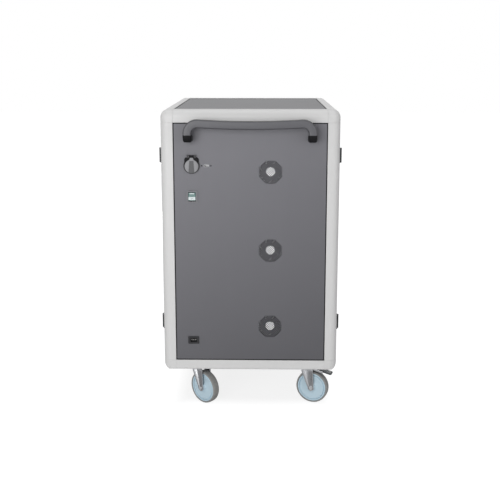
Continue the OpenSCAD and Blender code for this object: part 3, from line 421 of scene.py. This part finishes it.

# %% [markdown]
# The frame members are rolled sections with one large round edge, cut to length and pushed onto cast corner
# blocks. Their CAD shape is right, so a merged copy gets its cut ends and long edges eased by about a
# millimetre. That is what draws the faint seams where a member meets its corner. The faces of the members
# that look into the openings, and the ledges behind the sheets, get the dark coat of the hinges as painted
# shade, for the little light that gets between a sheet and its frame.

# %% Frame
beside_panel = 1.3 * mm
beside_door = 1.8 * mm
inside_x = panel_high.x + beside_panel
inside_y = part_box("door_left")[1].y - middle_y + beside_door
opening_low, opening_high = panel_low.z - beside_panel, panel_high.z + beside_panel
frame_nodes = ("corner_posts", "top_beams", "base_beams", "top_corners", "base_corners")
for node in frame_nodes:
    member = eased(node, frame_coat, 1.2 * mm)
    member.data.materials.append(hinge_coat_and_painted_shade)
    for face in member.data.polygons:
        # Painted shade: faces that look into an opening get the dark coat.
        inside = abs(face.center.x) < inside_x and abs(face.center.y - middle_y) < inside_y
        if inside or opening_low < face.center.z < opening_high and node.endswith("beams"):
            face.material_index = 1
# Painted shade: the ledges behind the sheets get the dark coat.
eased("post_ledges", hinge_coat_and_painted_shade, 0.4 * mm)
print("frame pieces", len(frame_nodes) + 1)

# %% [markdown]
# The sheets lie in the frame with a narrow gap all round. The service panel keeps its CAD mesh, because
# that has every ventilation hole. The other sheets are eased copies. A thin black lip lies in the gap round
# the service panel and the deck as painted shade, drawing the gap's dark line: a flat face is inset, its
# middle is deleted, and the ring that stays is pushed up a little.

# %% Sheets and doors
service_panel = frame["nodes"]["service_panel"]
service_panel.data.materials.clear()
service_panel.data.materials.append(sheet_coat)
for node in ("far_panel", "door_left", "door_right", "base_plate"):
    eased(node, sheet_coat, 0.4 * mm)
eased("top_panel", deck_coat, 0.4 * mm)


# A black lip in the gap round a sheet: painted shade for the gap's dark line.
def gap_shade_lip(name, centre, width, height, facing):
    past_sheet = 1.2 * mm
    lip_w, lip_t = 3.4 * mm, 0.9 * mm
    bm = bmesh.new()
    verts = bmesh.ops.create_grid(bm, x_segments=1, y_segments=1, size=0.5)["verts"]
    bmesh.ops.scale(bm, vec=(width + 2 * past_sheet, height + 2 * past_sheet, 1), verts=verts)
    sheet = bm.faces[:]
    bmesh.ops.inset_region(bm, faces=sheet, thickness=lip_w, use_boundary=True, use_even_offset=True)
    bmesh.ops.delete(bm, geom=sheet, context="FACES")
    pushed(bm, bm.faces[:], (0, 0, lip_t))
    add_piece(name, bm, black_plastic_and_painted_shade, "cabinet", ease=0.3 * mm,
              place=towards(facing, centre))


lip_sunk = 0.3 * mm
panel_size = panel_high - panel_low
panel_centre = ((panel_low.x + panel_high.x) / 2, panel_front + lip_sunk, (panel_low.z + panel_high.z) / 2)
gap_shade_lip("service_panel_gap_shade", panel_centre, panel_size.x, panel_size.z, (0, -1, 0))
deck_low, deck_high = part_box("top_panel")
deck_size = deck_high - deck_low
deck_centre = ((deck_low.x + deck_high.x) / 2, (deck_low.y + deck_high.y) / 2, deck_high.z - lip_sunk)
gap_shade_lip("deck_gap_shade", deck_centre, deck_size.x, deck_size.y, (0, 0, 1))
print("sheets ready, service panel", round(panel_size.x, 4), "by", round(panel_size.z, 4))

# %% [markdown]
# Behind the doors the sheets have a paler coat. The dividers that part the laptops are pale plastic, and
# the power strips black plastic.

# %% Shelves, dividers and power strips
for node in ("shelves", "adapter_walls", "power_box"):
    eased(node, inner_coat, 0.3 * mm)
eased("bay_dividers", divider_plastic, 0.5 * mm)
eased("power_strips", fitting_plastic, 0.8 * mm)
print("shelves, walls, dividers and strips ready")

# %% [markdown]
# The fittings that the next cells don't rebuild keep their CAD shape and get the finish of their real
# counterpart. In the mains inlet the small faces in its middle belong to the three contact pins, so they
# turn to bright metal.

# %% Fittings that keep their shape
fittings = (
    (hinge_coat_and_painted_shade, 0.4 * mm, ("hinge_brackets", "door_hinges_left", "door_hinges_right")),
    (grip_plastic, 1.2 * mm, ("lock_case_left", "lock_case_right")),
    (zinc, 0.3 * mm, ("lock_cam_left", "lock_cam_right", "shelf_brackets", "handle_bolts", "caster_plates",
                      "caster_bolts")),
    (port_metal, 0.3 * mm, ("data_port",)),
    (fitting_plastic, 0.6 * mm, ("socket_housing", "fan_frames")),
    (bezel_plastic, 0.8 * mm, ("switch_bezel",)))
for finish, width, nodes in fittings:
    for node in nodes:
        eased(node, finish, width)
inlet = eased("mains_inlet", fitting_plastic, 0.4 * mm)
inlet.data.materials.append(bright_metal)
inlet_low, inlet_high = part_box("mains_inlet")
inlet_middle = (inlet_low + inlet_high) / 2
pins_half_w, pins_half_h, well_depth, pin_area = 10 * mm, 5 * mm, 9 * mm, 150 * mm * mm
for face in inlet.data.polygons:
    offset = face.center - inlet_middle
    well_back = abs(face.normal.y) > 0.9 and face.center.y > inlet_low.y + well_depth
    central = abs(offset.x) < pins_half_w and abs(offset.z) < pins_half_h
    if central and face.area < pin_area and not well_back:
        face.material_index = 1
print("fittings ready", sum(len(nodes) for _, _, nodes in fittings) + 1)

# %% [markdown]
# The push handle is one hollow moulding with a softly squared section. It leaves the panel, bends upwards,
# turns inwards and bows down a little in the middle. A face is pushed and spun along that path, which keeps
# the section whole through every bend.

# %% Push handle
def push_handle():
    low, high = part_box("push_handle")
    width, depth = 30 * mm, 24 * mm
    corner_r = 6.5 * mm
    foot_bend, bend = 16 * mm, 38 * mm
    bow, bow_steps = 8 * mm, 16
    flare = 0.03
    painted_shade_foot_h = 14 * mm
    foot_x = high.x - 15.5 * mm
    foot_z = low.z + depth / 2
    grip_y = low.y + depth / 2
    grip_z = high.z - width / 2
    bend_y, bend_z = grip_y + foot_bend, foot_z + foot_bend
    top_x, top_z = foot_x - bend, grip_z - bend

    def spun(ends, centre, axis, angle, steps):
        made = bmesh.ops.spin(bm, geom=ends, cent=centre, axis=axis, dvec=(0, 0, 0), angle=angle, steps=steps,
                              use_duplicate=False)["geom_last"]
        return [g for g in made if isinstance(g, bmesh.types.BMFace)]

    bm = bmesh.new()
    face = rounded_face(bm, width, depth, corner_r)
    start = Matrix.Translation((-foot_x, panel_front, foot_z)) @ Matrix.Rotation(pi / 2, 4, "X")
    bmesh.ops.transform(bm, matrix=start, verts=bm.verts[:])
    ends = pushed(bm, [face], (0, bend_y - panel_front, 0))
    ends = spun(ends, (-foot_x, bend_y, bend_z), (1, 0, 0), -pi / 2, 8)
    ends = pushed(bm, ends, (0, 0, top_z - bend_z))
    ends = spun(ends, (-top_x, grip_y, top_z), (0, 1, 0), pi / 2, 12)
    for _ in range(bow_steps):
        ends = pushed(bm, ends, (2 * top_x / bow_steps, 0, 0))
    ends = spun(ends, (top_x, grip_y, top_z), (0, 1, 0), pi / 2, 12)
    ends = pushed(bm, ends, (0, 0, bend_z - top_z))
    ends = spun(ends, (foot_x, bend_y, bend_z), (1, 0, 0), pi / 2, 8)
    pushed(bm, ends, (0, panel_front - bend_y, 0))
    for vert in bm.verts:
        along = min(1.0, abs(vert.co.x) / (foot_x - 10 * mm))
        if vert.co.z > grip_z - width:
            vert.co.z -= bow * (1 - along ** 2)
        down = min(1.0, max(0.0, (grip_z - vert.co.z) / (grip_z - foot_z)))
        side = foot_x if vert.co.x > 0 else -foot_x
        if abs(vert.co.x) > foot_x - 20 * mm:
            vert.co.x = side + (vert.co.x - side) * (1 + flare * down)
    # Painted shade: the lowest part of each leg, where it turns back into the panel, gets the black plastic.
    for face in bm.faces:
        face.material_index = 1 if face.calc_center_median().z < foot_z + painted_shade_foot_h else 0
    add_piece("handle_moulding", bm, (handle_plastic, black_plastic_and_painted_shade), "cabinet",
              ["push_handle"], smooth=50)
    print("handle", round(2 * foot_x, 4), "wide, bows", round(bow, 4))


push_handle()

# %% [markdown]
# The socket's lid flips up on a pin. Its face has two raised lobes with a finger recess between them,
# narrow at the hinge and wide at the lower rim, whose floor gets a darker plastic as painted shade. A disc
# is cut by two slanted planes, and the outer parts are pushed further forward than the middle. A tapering
# neck joins the disc to the barrel that turns on the pin. Behind them the black housing has two round
# shoulders.

# %% Socket lid
lid_axis = Vector(joints["socket_lid_flip"]["pos_m"])
lid_r = 24.5 * mm
lid_centre = Vector((lid_axis.x, lid_axis.y + 1.5 * mm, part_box("socket_lid")[0].z + lid_r))


def lid_disc():
    recess_half, recess_slant = 8.8 * mm, 0.07
    disc_t, lobe_t, lobe_round = 1.7 * mm, 1.2 * mm, 0.8 * mm
    bm = bmesh.new()
    bmesh.ops.create_circle(bm, cap_ends=True, radius=lid_r, segments=72)
    bmesh.ops.rotate(bm, cent=(0, 0, 0), matrix=Matrix.Rotation(pi / 2, 3, "X"), verts=bm.verts[:])
    for side in (-1, 1):
        bmesh.ops.bisect_plane(bm, geom=bm.verts[:] + bm.edges[:] + bm.faces[:], dist=1e-7,
                               plane_co=(side * recess_half, 0, 0), plane_no=(side, 0, recess_slant))
    front = pushed(bm, bm.faces[:], (0, -disc_t, 0))
    lobes = [face for face in front if abs(face.calc_center_median().x) > recess_half]
    for lobe in lobes:
        for top in pushed(bm, [lobe], (0, -lobe_t, 0)):
            bmesh.ops.bevel(bm, geom=top.edges[:], offset=lobe_round, segments=3, profile=0.5,
                            affect="EDGES", material=-1, clamp_overlap=True)
    # Painted shade: the floor of the finger recess gets the darker plastic.
    for face in bm.faces:
        middle = face.calc_center_median()
        recessed = abs(middle.x) < recess_half / 2 and middle.y < -disc_t + 0.1 * mm
        face.material_index = 1 if recessed else 0
    add_piece("lid_disc", bm, (lid_plastic, lid_recess_painted_shade), "socket_lid", ["socket_lid"],
              smooth=30, place=Matrix.Translation(lid_centre))


def lid_hinge():
    neck_half, neck_taper = 8.6 * mm, 0.62
    neck_back = lid_centre.y - 0.3 * mm
    bm = bmesh.new()
    block(bm, (lid_axis.x - neck_half, lid_centre.y - 2.4 * mm, lid_centre.z + 20 * mm),
          (lid_axis.x + neck_half, neck_back, lid_axis.z - 4.6 * mm))
    for vert in bm.verts:
        if vert.co.z > lid_axis.z - 5 * mm:
            vert.co.x = lid_axis.x + (vert.co.x - lid_axis.x) * neck_taper
    add_piece("lid_neck", bm, lid_plastic, "socket_lid", ease=0.5 * mm)
    bm = bmesh.new()
    block(bm, (lid_axis.x - neck_half, lid_centre.y - 2.6 * mm, lid_axis.z - 5 * mm),
          (lid_axis.x + neck_half, neck_back, lid_axis.z + 1 * mm))
    barrel = [(1.4, -8.8), (3.2, -8.8), (3.4, -8.4), (3.4, 8.4), (3.2, 8.8), (1.4, 8.8), (1.4, -8.8)]
    turned(bm, barrel, towards((1, 0, 0), lid_axis), 32)
    add_piece("lid_barrel", bm, black_plastic_and_painted_shade, "socket_lid", ease=0.4 * mm)
    bm = bmesh.new()
    pin = [(0, -16.4), (1.3, -16.4), (1.5, -16.1), (1.5, 16.1), (1.3, 16.4), (0, 16.4)]
    turned(bm, pin, towards((1, 0, 0), lid_axis), 20)
    add_piece("lid_pin", bm, bolt_metal, "socket_lid")


def housing_shoulders():
    low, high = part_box("socket_housing")
    shoulders_w, shoulders_h, shoulders_t, shoulder_r = 52 * mm, 31 * mm, 4.2 * mm, 9 * mm
    below_top = 24 * mm
    bm = bmesh.new()
    face = rounded_face(bm, shoulders_w, shoulders_h, shoulder_r)
    pushed(bm, [face], (0, 0, shoulders_t))
    centre = ((low.x + high.x) / 2, panel_front, high.z - below_top)
    add_piece("housing_shoulders", bm, black_plastic_and_painted_shade, "cabinet", ease=1.0 * mm,
              place=towards((0, -1, 0), centre))


lid_disc()
lid_hinge()
housing_shoulders()
print("lid radius", lid_r, "centre", [round(v, 4) for v in lid_centre])

# %% [markdown]
# The mains switch is a wide rocker: a shallow V that tips about a pin, with its upper half pressed in. The
# plastic is a dark teal with a ring mark moulded into it. Two pale bars on it are painted highlights, where
# its top edge and its raised lower half catch the light. Only shapes mark it, no words.

# %% Mains switch
def mains_switch():
    axis = Vector(joints["switch_rock"]["pos_m"])
    half_w, half_h = 13.2 * mm, 14.6 * mm
    crest, tip, tilt = -7.0 * mm, -8.6 * mm, radians(-7)
    back, back_taper = 0.5 * mm, 0.92
    highlight_t = 0.35 * mm
    place = Matrix.Translation(axis) @ Matrix.Rotation(tilt, 4, "X")

    def on_face(z):
        return crest + (tip - crest) * abs(z) / half_h

    bm = bmesh.new()
    block(bm, (-half_w, crest, -half_h), (half_w, 6 * mm, half_h))
    bmesh.ops.bisect_plane(bm, geom=bm.verts[:] + bm.edges[:] + bm.faces[:], plane_co=(0, 0, 0),
                           plane_no=(0, 0, 1))
    for vert in bm.verts:
        at_an_end = abs(vert.co.z) > 1 * mm
        if at_an_end and vert.co.y < -5 * mm:
            vert.co.y = tip
        if at_an_end and vert.co.y > 5 * mm:
            vert.co.y = back
            vert.co.z *= back_taper
    turned(bm, [(0, -14.8), (1.4, -14.8), (1.4, 14.8), (0, 14.8)], towards((1, 0, 0)), 20)
    add_piece("rocker_body", bm, rocker_plastic, "switch_rocker", ["switch_rocker"],
              ease=0.9 * mm, segments=3, place=place)
    slope = atan2(tip - crest, half_h)
    # Painted highlights: two pale bars where the rocker's top edge and raised lower half catch the light.
    for name, z0, z1, half_bar in (("upper_highlight_bar", 8.6, 12.8, 8.5), ("lower_highlight_bar", -13.2, -1.6, 12.6)):
        bm = bmesh.new()
        face = rounded_face(bm, 2 * half_bar * mm, (z1 - z0) * mm, 1.2 * mm, 4)
        pushed(bm, [face], (0, 0, highlight_t))
        z = (z0 + z1) / 2 * mm
        lean = slope if z > 0 else -slope
        upright = Matrix.Rotation(pi / 2 - lean, 4, "X")
        add_piece(name, bm, painted_highlight_plastic, "switch_rocker", ease=0.1 * mm,
                  place=place @ Matrix.Translation((0, on_face(z), z)) @ upright)
    ring_z = -7 * mm
    bm = bmesh.new()
    turned(bm, [(2.2, -0.3), (2.9, -0.3), (2.9, 0.3), (2.2, 0.3), (2.2, -0.3)], steps=36)
    upright = Matrix.Rotation(pi / 2 + slope, 4, "X")
    add_piece("ring_mark", bm, fitting_plastic, "switch_rocker",
              place=place @ Matrix.Translation((0, on_face(ring_z) - 0.15 * mm, ring_z)) @ upright)


mains_switch()
print("switch tips about", [round(v, 4) for v in joints["switch_rock"]["pos_m"]])

# %% [markdown]
# Each fan's rotor is a moulded cup with seven swept blades and a round foil on its front. It shows through
# the perforated sheet as a bright spot, helped by the foil's painted glow. A blade is a small grid, bent and
# twisted along its length.

# %% Fans
def rotor(tier):
    node = "fan_rotor_" + tier
    low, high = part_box(node)
    centre = Vector(((low.x + high.x) / 2, low.y, (low.z + high.z) / 2))
    outer = (high.x - low.x) / 2 - 0.4 * mm
    depth = high.y - low.y
    hub, rim = 17.4, depth / mm - 0.3
    blades, blade_t = 7, 1.3 * mm
    body = "fan_" + tier
    place = towards((0, 1, 0), centre)
    bm = bmesh.new()
    turned(bm, [(0, 1.2), (hub - 1, 1.2), (hub - 0.8, 0.6), (hub - 0.4, 0.6), (hub, 1.2), (hub, rim),
                (hub - 2, rim), (hub - 2, 5), (1.7, 5), (1.7, 2.4), (0, 2.4)], steps=64)
    add_piece("rotor_cup_" + tier, bm, rotor_plastic, body, [node], smooth=30, place=place)
    bm = bmesh.new()
    turned(bm, [(0, 0.2), (hub - 1.4, 0.2), (hub - 1, 0.6), (hub - 1, 1.1), (0, 1.1)], steps=48)
    add_piece("rotor_foil_" + tier, bm, hub_foil_with_painted_glow, body, smooth=30, place=place)
    bm = bmesh.new()
    for k in range(blades):
        verts = bmesh.ops.create_grid(bm, x_segments=8, y_segments=6, size=0.5)["verts"]
        for vert in verts:
            along, across = vert.co.x + 0.5, vert.co.y
            r = (hub - 0.5) * mm + along * (outer - hub * mm)
            angle = across * (20 + 8 * along) * mm / r + 0.35 * along ** 2 + k * 2 * pi / blades
            crown = 1.2 * mm * (1 - 4 * across ** 2)
            lift = depth * (0.5 + across * (0.80 - 0.15 * along)) + crown
            vert.co = (r * cos(angle), r * sin(angle), lift)
    made = add_piece("rotor_blades_" + tier, bm, rotor_plastic, body, smooth=60, place=place)
    solid = made.modifiers.new("blade thickness", "SOLIDIFY")
    solid.thickness = blade_t
    solid.offset = 0


tiers = ("lower", "middle", "upper")
for tier in tiers:
    rotor(tier)
print("rotors", len(tiers))

# %% [markdown]
# Two small round head screws hold the data port. Each is lathed from one profile, with a domed head, a
# round recess in its middle and a shank that goes into the panel.

# %% Port screws
def screw(bm, place):
    r, h = 2.7, 1.5
    turned(bm, [(0, 0.35 * h), (0.30 * r, 0.35 * h), (0.36 * r, 0.96 * h), (0.62 * r, 0.86 * h),
                (0.88 * r, 0.52 * h), (r, 0.12 * h), (r, 0), (0.5 * r, 0), (0.5 * r, -2 * h), (0, -2 * h)],
           place, 24)


screws_low, screws_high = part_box("port_screws")
screw_edge = 2.8 * mm
bm = bmesh.new()
for x in (screws_low.x + screw_edge, screws_high.x - screw_edge):
    screw(bm, towards((0, -1, 0), (x, panel_front, (screws_low.z + screws_high.z) / 2)))
add_piece("port_screw_heads", bm, fitting_plastic, "cabinet", ["port_screws"], smooth=30)
print("port screws", round(screws_high.x - screws_low.x - 2 * screw_edge, 4), "apart")

# %% [markdown]
# A door handle is a flat wing with a raised grip down its middle. A round boss in the centre holds the key
# cylinder, whose slot lies across the wing when the door is locked; a thin black bar on the cylinder's face
# is painted shade for that slot.

# %% Door handles
def door_handle(side):
    node = "lock_handle_" + side
    low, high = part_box(node)
    out, face_x = (1, high.x) if side == "right" else (-1, low.x)
    centre = Vector((face_x, (low.y + high.y) / 2, (low.z + high.z) / 2))
    place = towards((out, 0, 0), centre) @ Matrix.Rotation(0 if out > 0 else pi, 4, "Z")
    body, slot = body_of[node], slot_of[node]
    plate_l, plate_w, plate_t, plate_back = high.z - low.z, high.y - low.y, 4.4 * mm, 8.9 * mm
    grip_half_w, grip_back, grip_front = 3.6 * mm, 6.5 * mm, 1.0 * mm
    bm = bmesh.new()
    face = rounded_face(bm, plate_l, plate_w, 6 * mm)
    pushed(bm, [face], (0, 0, plate_t))
    bmesh.ops.translate(bm, vec=(0, 0, -plate_back), verts=bm.verts[:])
    add_piece("wing_plate_" + side, bm, grip_plastic, body, [node], 1.2 * mm, 40, 3, place)
    bm = bmesh.new()
    for end in (-1, 1):
        x0, x1 = sorted((end * 6 * mm, end * (plate_l - 5 * mm) / 2))
        block(bm, (x0, -grip_half_w, -grip_back), (x1, grip_half_w, -grip_front), 1.4 * mm, 4)
    turned(bm, [(0, -6.5), (8.2, -6.5), (8.2, -1.6), (7.4, -0.8), (6.1, -0.8), (5.9, -1.4), (0, -1.4)],
           steps=40)
    add_piece("wing_grip_" + side, bm, grip_plastic, body, smooth=40, place=place)
    bm = bmesh.new()
    turned(bm, [(0, -2.4), (5.8, -2.4), (5.8, -0.6), (5.4, -0.2), (3.1, -0.2), (2.9, -0.5), (0, -0.5)],
           steps=36)
    add_piece("key_cylinder_" + side, bm, bolt_metal, body, smooth=35, place=place)
    # Painted shade: a thin black bar stands for the key slot.
    bm = bmesh.new()
    block(bm, (-0.5 * mm, -2.5 * mm, -1.2 * mm), (0.5 * mm, 2.5 * mm, -0.4 * mm), 0.2 * mm, 2)
    add_piece("key_slot_" + side, bm, fitting_plastic, body, smooth=35, place=place)


for side in ("left", "right"):
    door_handle(side)
    print("door handle", side, "rides", body_of["lock_handle_" + side])

# %% [markdown]
# Each caster is built in a place of its own, with the swivel axis at the origin and the wheel trailing
# along X, and is then turned and moved to where the CAD joints say.

# %% Caster places
caster_at = {}
for name in ("near_left", "near_right", "far_left", "far_right"):
    swivel = Vector(joints[name + "_swivel"]["pos_m"])
    roll = joints[name + "_roll"]
    turn = atan2(-roll["axis"][0], roll["axis"][1])
    caster_at[name] = Matrix.Translation((swivel.x, swivel.y, 0)) @ Matrix.Rotation(turn, 4, "Z")
axle_at = Vector(joints["near_left_roll"]["pos_m"])
trail = (axle_at - Vector(joints["near_left_swivel"]["pos_m"])).to_2d().length
to_axle = Matrix.Translation((trail, 0, axle_at.z)) @ Matrix.Rotation(-pi / 2, 4, "X")
print("casters", len(caster_at), "trail", round(trail, 4), "axle height", round(axle_at.z, 4))

# %% [markdown]
# A wheel is a moulded disc, dished between its boss and its rim and with a groove near the edge, and a
# rubber band that is moulded round it. Both are lathed about the axle from the upper half of their profile.

# %% Wheels
hub_half = [(4.05, 18.6), (12, 18.6), (13.6, 17.4), (14.6, 13.2), (17, 11.4), (30, 10.2), (46.4, 12.2),
            (47.3, 11.4), (48.2, 8.8), (49.5, 8.8), (50.4, 12.2), (51.4, 13.5), (54.4, 13.6), (55.4, 13),
            (55.9, 11.8)]
tyre_half = [(55.95, 0), (55.95, 13.2), (57, 14.6), (58.8, 14.9), (60.4, 14), (61.6, 12), (62.3, 8.5),
             (62.5, 4)]


def wheel(name):
    body = "wheel_" + name
    place = caster_at[name] @ to_axle
    bm = bmesh.new()
    turned(bm, both_sides(hub_half), steps=72)
    add_piece("hub_disc_" + name, bm, hub_plastic, body, ["hub_" + name], smooth=32,
              place=place)
    bm = bmesh.new()
    turned(bm, both_sides(tyre_half), steps=96)
    add_piece("tyre_band_" + name, bm, tyre_rubber, body, ["tyre_" + name], smooth=40,
              place=place)


for name in caster_at:
    wheel(name)
print("wheels", len(caster_at), "radius", tyre_half[-1][0])

# %% [markdown]
# A fork's crown and ball race keep their CAD shape, cut off just under the crown. The two legs below are
# pressed sheet. A leg starts as a flat outline, its front strip is bent outwards along a slanted line, and
# its long edges are folded outwards, so that it reads as a shallow channel. A Solidify modifier gives the
# steel its thickness. The faces that look sideways get the darker zinc as painted shade, and the folded ones
# plain zinc.

# %% Forks
crown_cut, leg_top = 130.9, 137
axle_x = trail / mm
leg_outline = [(3, leg_top), (3, 130), (axle_x - 11.6, 66), (axle_x - 9.8, 57.6), (axle_x - 4.8, 52.4),
               (axle_x, 50.9), (axle_x + 4.8, 52.4), (axle_x + 9.8, 57.6), (axle_x + 9.8, 66), (44, 130),
               (44, leg_top)]
fold_foot = Vector((axle_x - 5, 0, 53)) * mm
fold_head = Vector((15, 0, 130)) * mm
fold_across = (fold_head - fold_foot).cross(Vector((0, 1, 0)))


def fork_crown(name):
    node = "fork_" + name
    bm = merged(node)
    cut = bmesh.ops.bisect_plane(bm, geom=bm.verts[:] + bm.edges[:] + bm.faces[:], dist=1e-6,
                                 plane_co=(0, 0, crown_cut * mm), plane_no=(0, 0, -1),
                                 clear_outer=True)["geom_cut"]
    bmesh.ops.holes_fill(bm, edges=[g for g in cut if isinstance(g, bmesh.types.BMEdge)], sides=0)
    add_piece("fork_crown_" + name, bm, zinc, node, [node], 0.6 * mm, 35)


def fork_leg(bm, side):
    leg_y, flange_w, flange_round = 20.6 * mm, 3.4 * mm, 1.3 * mm
    strip_out, strip_lean, strip_from = 1.2 * mm, 0.075, 56 * mm
    verts = [bm.verts.new((x * mm, side * leg_y, z * mm)) for x, z in leg_outline]
    plate = bm.faces.new(verts)
    cut = bmesh.ops.bisect_plane(bm, geom=[plate, *plate.edges, *plate.verts], dist=1e-6, plane_co=fold_foot,
                                 plane_no=-fold_across)
    on_fold = {g for g in cut["geom_cut"] if isinstance(g, bmesh.types.BMVert)}
    of_leg = {v for g in cut["geom"] if isinstance(g, bmesh.types.BMFace) for v in g.verts}
    for vert in of_leg - on_fold:
        if (vert.co - fold_foot).dot(fold_across) > 0:
            vert.co.y += side * (strip_out + strip_lean * max(0.0, vert.co.z - strip_from))
    leg_edges = {edge for vert in of_leg for edge in vert.link_edges if len(edge.link_faces) == 1}
    below_crown = (2 * leg_top - 0.1) * mm
    rim = [edge for edge in bm.edges if edge in leg_edges and sum(v.co.z for v in edge.verts) < below_crown]
    made = bmesh.ops.extrude_edge_only(bm, edges=rim)["geom"]
    flange = [g for g in made if isinstance(g, bmesh.types.BMVert)]
    bmesh.ops.translate(bm, vec=(0, side * flange_w, 0), verts=flange)
    bmesh.ops.bevel(bm, geom=[edge for edge in rim if edge.is_valid], offset=flange_round, segments=3,
                    profile=0.5, affect="EDGES", material=-1, clamp_overlap=True)


def fork_legs(name):
    bm = bmesh.new()
    for side in (-1, 1):
        fork_leg(bm, side)
    # Painted shade: faces that look sideways get the darker zinc.
    for face in bm.faces:
        face.normal_update()
        face.material_index = 0 if abs(face.normal.y) > 0.97 else 1
    legs = add_piece("fork_legs_" + name, bm, (zinc_with_painted_shade, zinc), "fork_" + name, smooth=50,
                     place=caster_at[name])
    sheet = legs.modifiers.new("sheet thickness", "SOLIDIFY")
    sheet.thickness = 2.2 * mm
    sheet.offset = 0
    edge = legs.modifiers.new("eased edges", "BEVEL")
    edge.width = 0.4 * mm
    edge.segments = 2


for name in caster_at:
    fork_crown(name)
    fork_legs(name)
    eased("axle_" + name, bolt_metal, 0.6 * mm)
print("forks", len(caster_at), "leg outline points", len(leg_outline))

# %% [markdown]
# The brake pedal turns on a pin across the fork. It is a moulded plate with round corners and cross ribs
# for the shoe, on a barrel, and it slopes down past the wheel. Two zinc plated arms join the plate to the
# barrel.

# %% Brake pedals
def pedal(name):
    body = "brake_" + name
    pivot = Vector(joints[name + "_brake"]["pos_m"])
    swivel = Vector(joints[name + "_swivel"]["pos_m"])
    slope = radians(12)
    place = (caster_at[name] @ Matrix.Translation(((pivot - swivel).to_2d().length, 0, pivot.z))
             @ Matrix.Rotation(slope, 4, "Y"))
    plate_l, plate_w, plate_t = 73 * mm, 29.6 * mm, 5.4 * mm
    ribs, first_rib, rib_pitch, rib_half = 7, 38 * mm, 5.2 * mm, 0.9 * mm
    bm = bmesh.new()
    face = rounded_face(bm, plate_l, plate_w, 7 * mm, 6)
    pushed(bm, [face], (0, 0, plate_t))
    bmesh.ops.translate(bm, vec=(40.4 * mm, 0, -0.3 * mm), verts=bm.verts[:])
    add_piece("pedal_plate_" + name, bm, pedal_plastic, body, [body], 1.6 * mm, 40, 3, place)
    bm = bmesh.new()
    for k in range(ribs):
        x = first_rib + rib_pitch * k
        block(bm, (x - rib_half, -11.5 * mm, 4.6 * mm), (x + rib_half, 11.5 * mm, 6.3 * mm), 0.5 * mm, 2)
    turned(bm, [(3.1, -18.6), (5.9, -18.6), (6.4, -18), (6.4, 18), (5.9, 18.6), (3.1, 18.6), (3.1, -18.6)],
           towards((0, 1, 0)), 40)
    add_piece("pedal_ribs_" + name, bm, bolt_metal, body, smooth=35, place=place)
    bm = bmesh.new()
    for side in (-1, 1):
        y0, y1 = sorted((side * 15.4 * mm, side * 17.2 * mm))
        block(bm, (-4.5 * mm, y0, -4.2 * mm), (44 * mm, y1, 4.6 * mm), 0.8 * mm, 3)
        turned(bm, [(0, 17), (5.2, 17), (5, 18.2), (0, 18.4)], towards((0, side, 0)), 28)
    add_piece("pedal_arms_" + name, bm, zinc, body, smooth=35, place=place)


for name in ("near_right", "far_right"):
    pedal(name)
    print("pedal at", name)

# %% [markdown]
# The stage is a pale studio. The floor glows white to the camera and keeps the cart's soft shadow, and a
# painted shadow, a patch of weaker glow, makes it slightly darker under the cart as in the photograph. A real
# sheet of paper would need strong lamps to look that white, and those would bleach the cart, so the glow is
# mixed in for camera rays alone.

# %% Floor
def studio_floor():
    bm = bmesh.new()
    bmesh.ops.create_grid(bm, x_segments=1, y_segments=1, size=14)
    mesh = bpy.data.meshes.new("floor")
    bm.to_mesh(mesh)
    bm.free()
    floor = bpy.data.objects.new("floor", mesh)
    bpy.context.scene.collection.objects.link(floor)
    painted_shadow_glow, open_floor = 0.838, 0.170
    finish = Finish("floor", Roughness=0.9, Specular_IOR_Level=0.1, Base_Color=(0.82, 0.82, 0.82, 1))
    spread = finish.node("ShaderNodeVectorMath", {"operation": "ABSOLUTE"}, {0: finish.place}, "Vector")
    apart = finish.part_of(spread, "X").maths("MAXIMUM", finish.part_of(spread, "Y"))
    # Painted shadow: the glow is weaker in a patch under the cart.
    strength = finish.ramp(apart * 1.6, 0.40, 0.56) * open_floor + painted_shadow_glow
    glow = finish.node("ShaderNodeEmission", {}, {"Strength": strength})
    paper = finish.node("ShaderNodeBsdfDiffuse", {}, {"Color": (0.16, 0.16, 0.16, 1)})
    both = finish.node("ShaderNodeAddShader", {}, {0: paper, 1: glow})
    seen = finish.node("ShaderNodeLightPath", {}, {}, "Is Camera Ray")
    lit = Wire(finish, finish.shader.outputs[0])
    shown = finish.node("ShaderNodeMixShader", {}, {0: seen, 1: lit, 2: both})
    finish.into(shown, "Material Output", "Surface")
    mesh.materials.append(finish.material)


studio_floor()
print("floor ready")

# %% [markdown]
# The surround is white to the camera, in mirroring surfaces and through clear ones, but lights the cart
# only as a soft grey. One large lamp stands in front on the left, a weaker one on the right, a broad one
# overhead and a low one behind for the far side.

# %% Surround and lamps
def surround():
    world = bpy.data.worlds.new("surround")
    bpy.context.scene.world = world
    world.use_nodes = True
    air = Nodes(world.node_tree)
    seen, mirrored, through = (air.node("ShaderNodeLightPath", {}, {}, "Is " + kind + " Ray")
                               for kind in ("Camera", "Glossy", "Transmission"))
    shown = seen.maths("MAXIMUM", mirrored).maths("MAXIMUM", through)
    air.into(air.tint(shown, (0.36, 0.36, 0.37), (1, 1, 1)), "Background", "Color")


def lamp(name, place, target, size, power):
    data = bpy.data.lights.new(name, "AREA")
    data.shape = "SQUARE"
    data.size = size
    data.energy = power
    made = bpy.data.objects.new(name, data)
    made.location = place
    made.rotation_euler = (Vector(target) - Vector(place)).to_track_quat("-Z", "Y").to_euler()
    bpy.context.scene.collection.objects.link(made)
    print("lamp", name, power, "W")


surround()
lamp("key", (-1.4, -3.8, 1.5), (0, -0.3, 0.6), 2.2, 80)
lamp("fill", (2.4, -2.9, 1.3), (0, 0, 0.6), 2.4, 20)
lamp("top", (0.0, 0.2, 3.4), (0, 0, 0.8), 2.6, 26)
lamp("back", (-0.9, 3.4, 0.52), (0, 0.2, 0.62), 1.15, 42)

# %% [markdown]
# Last, the script ends with the scene as built.


print("scene built")
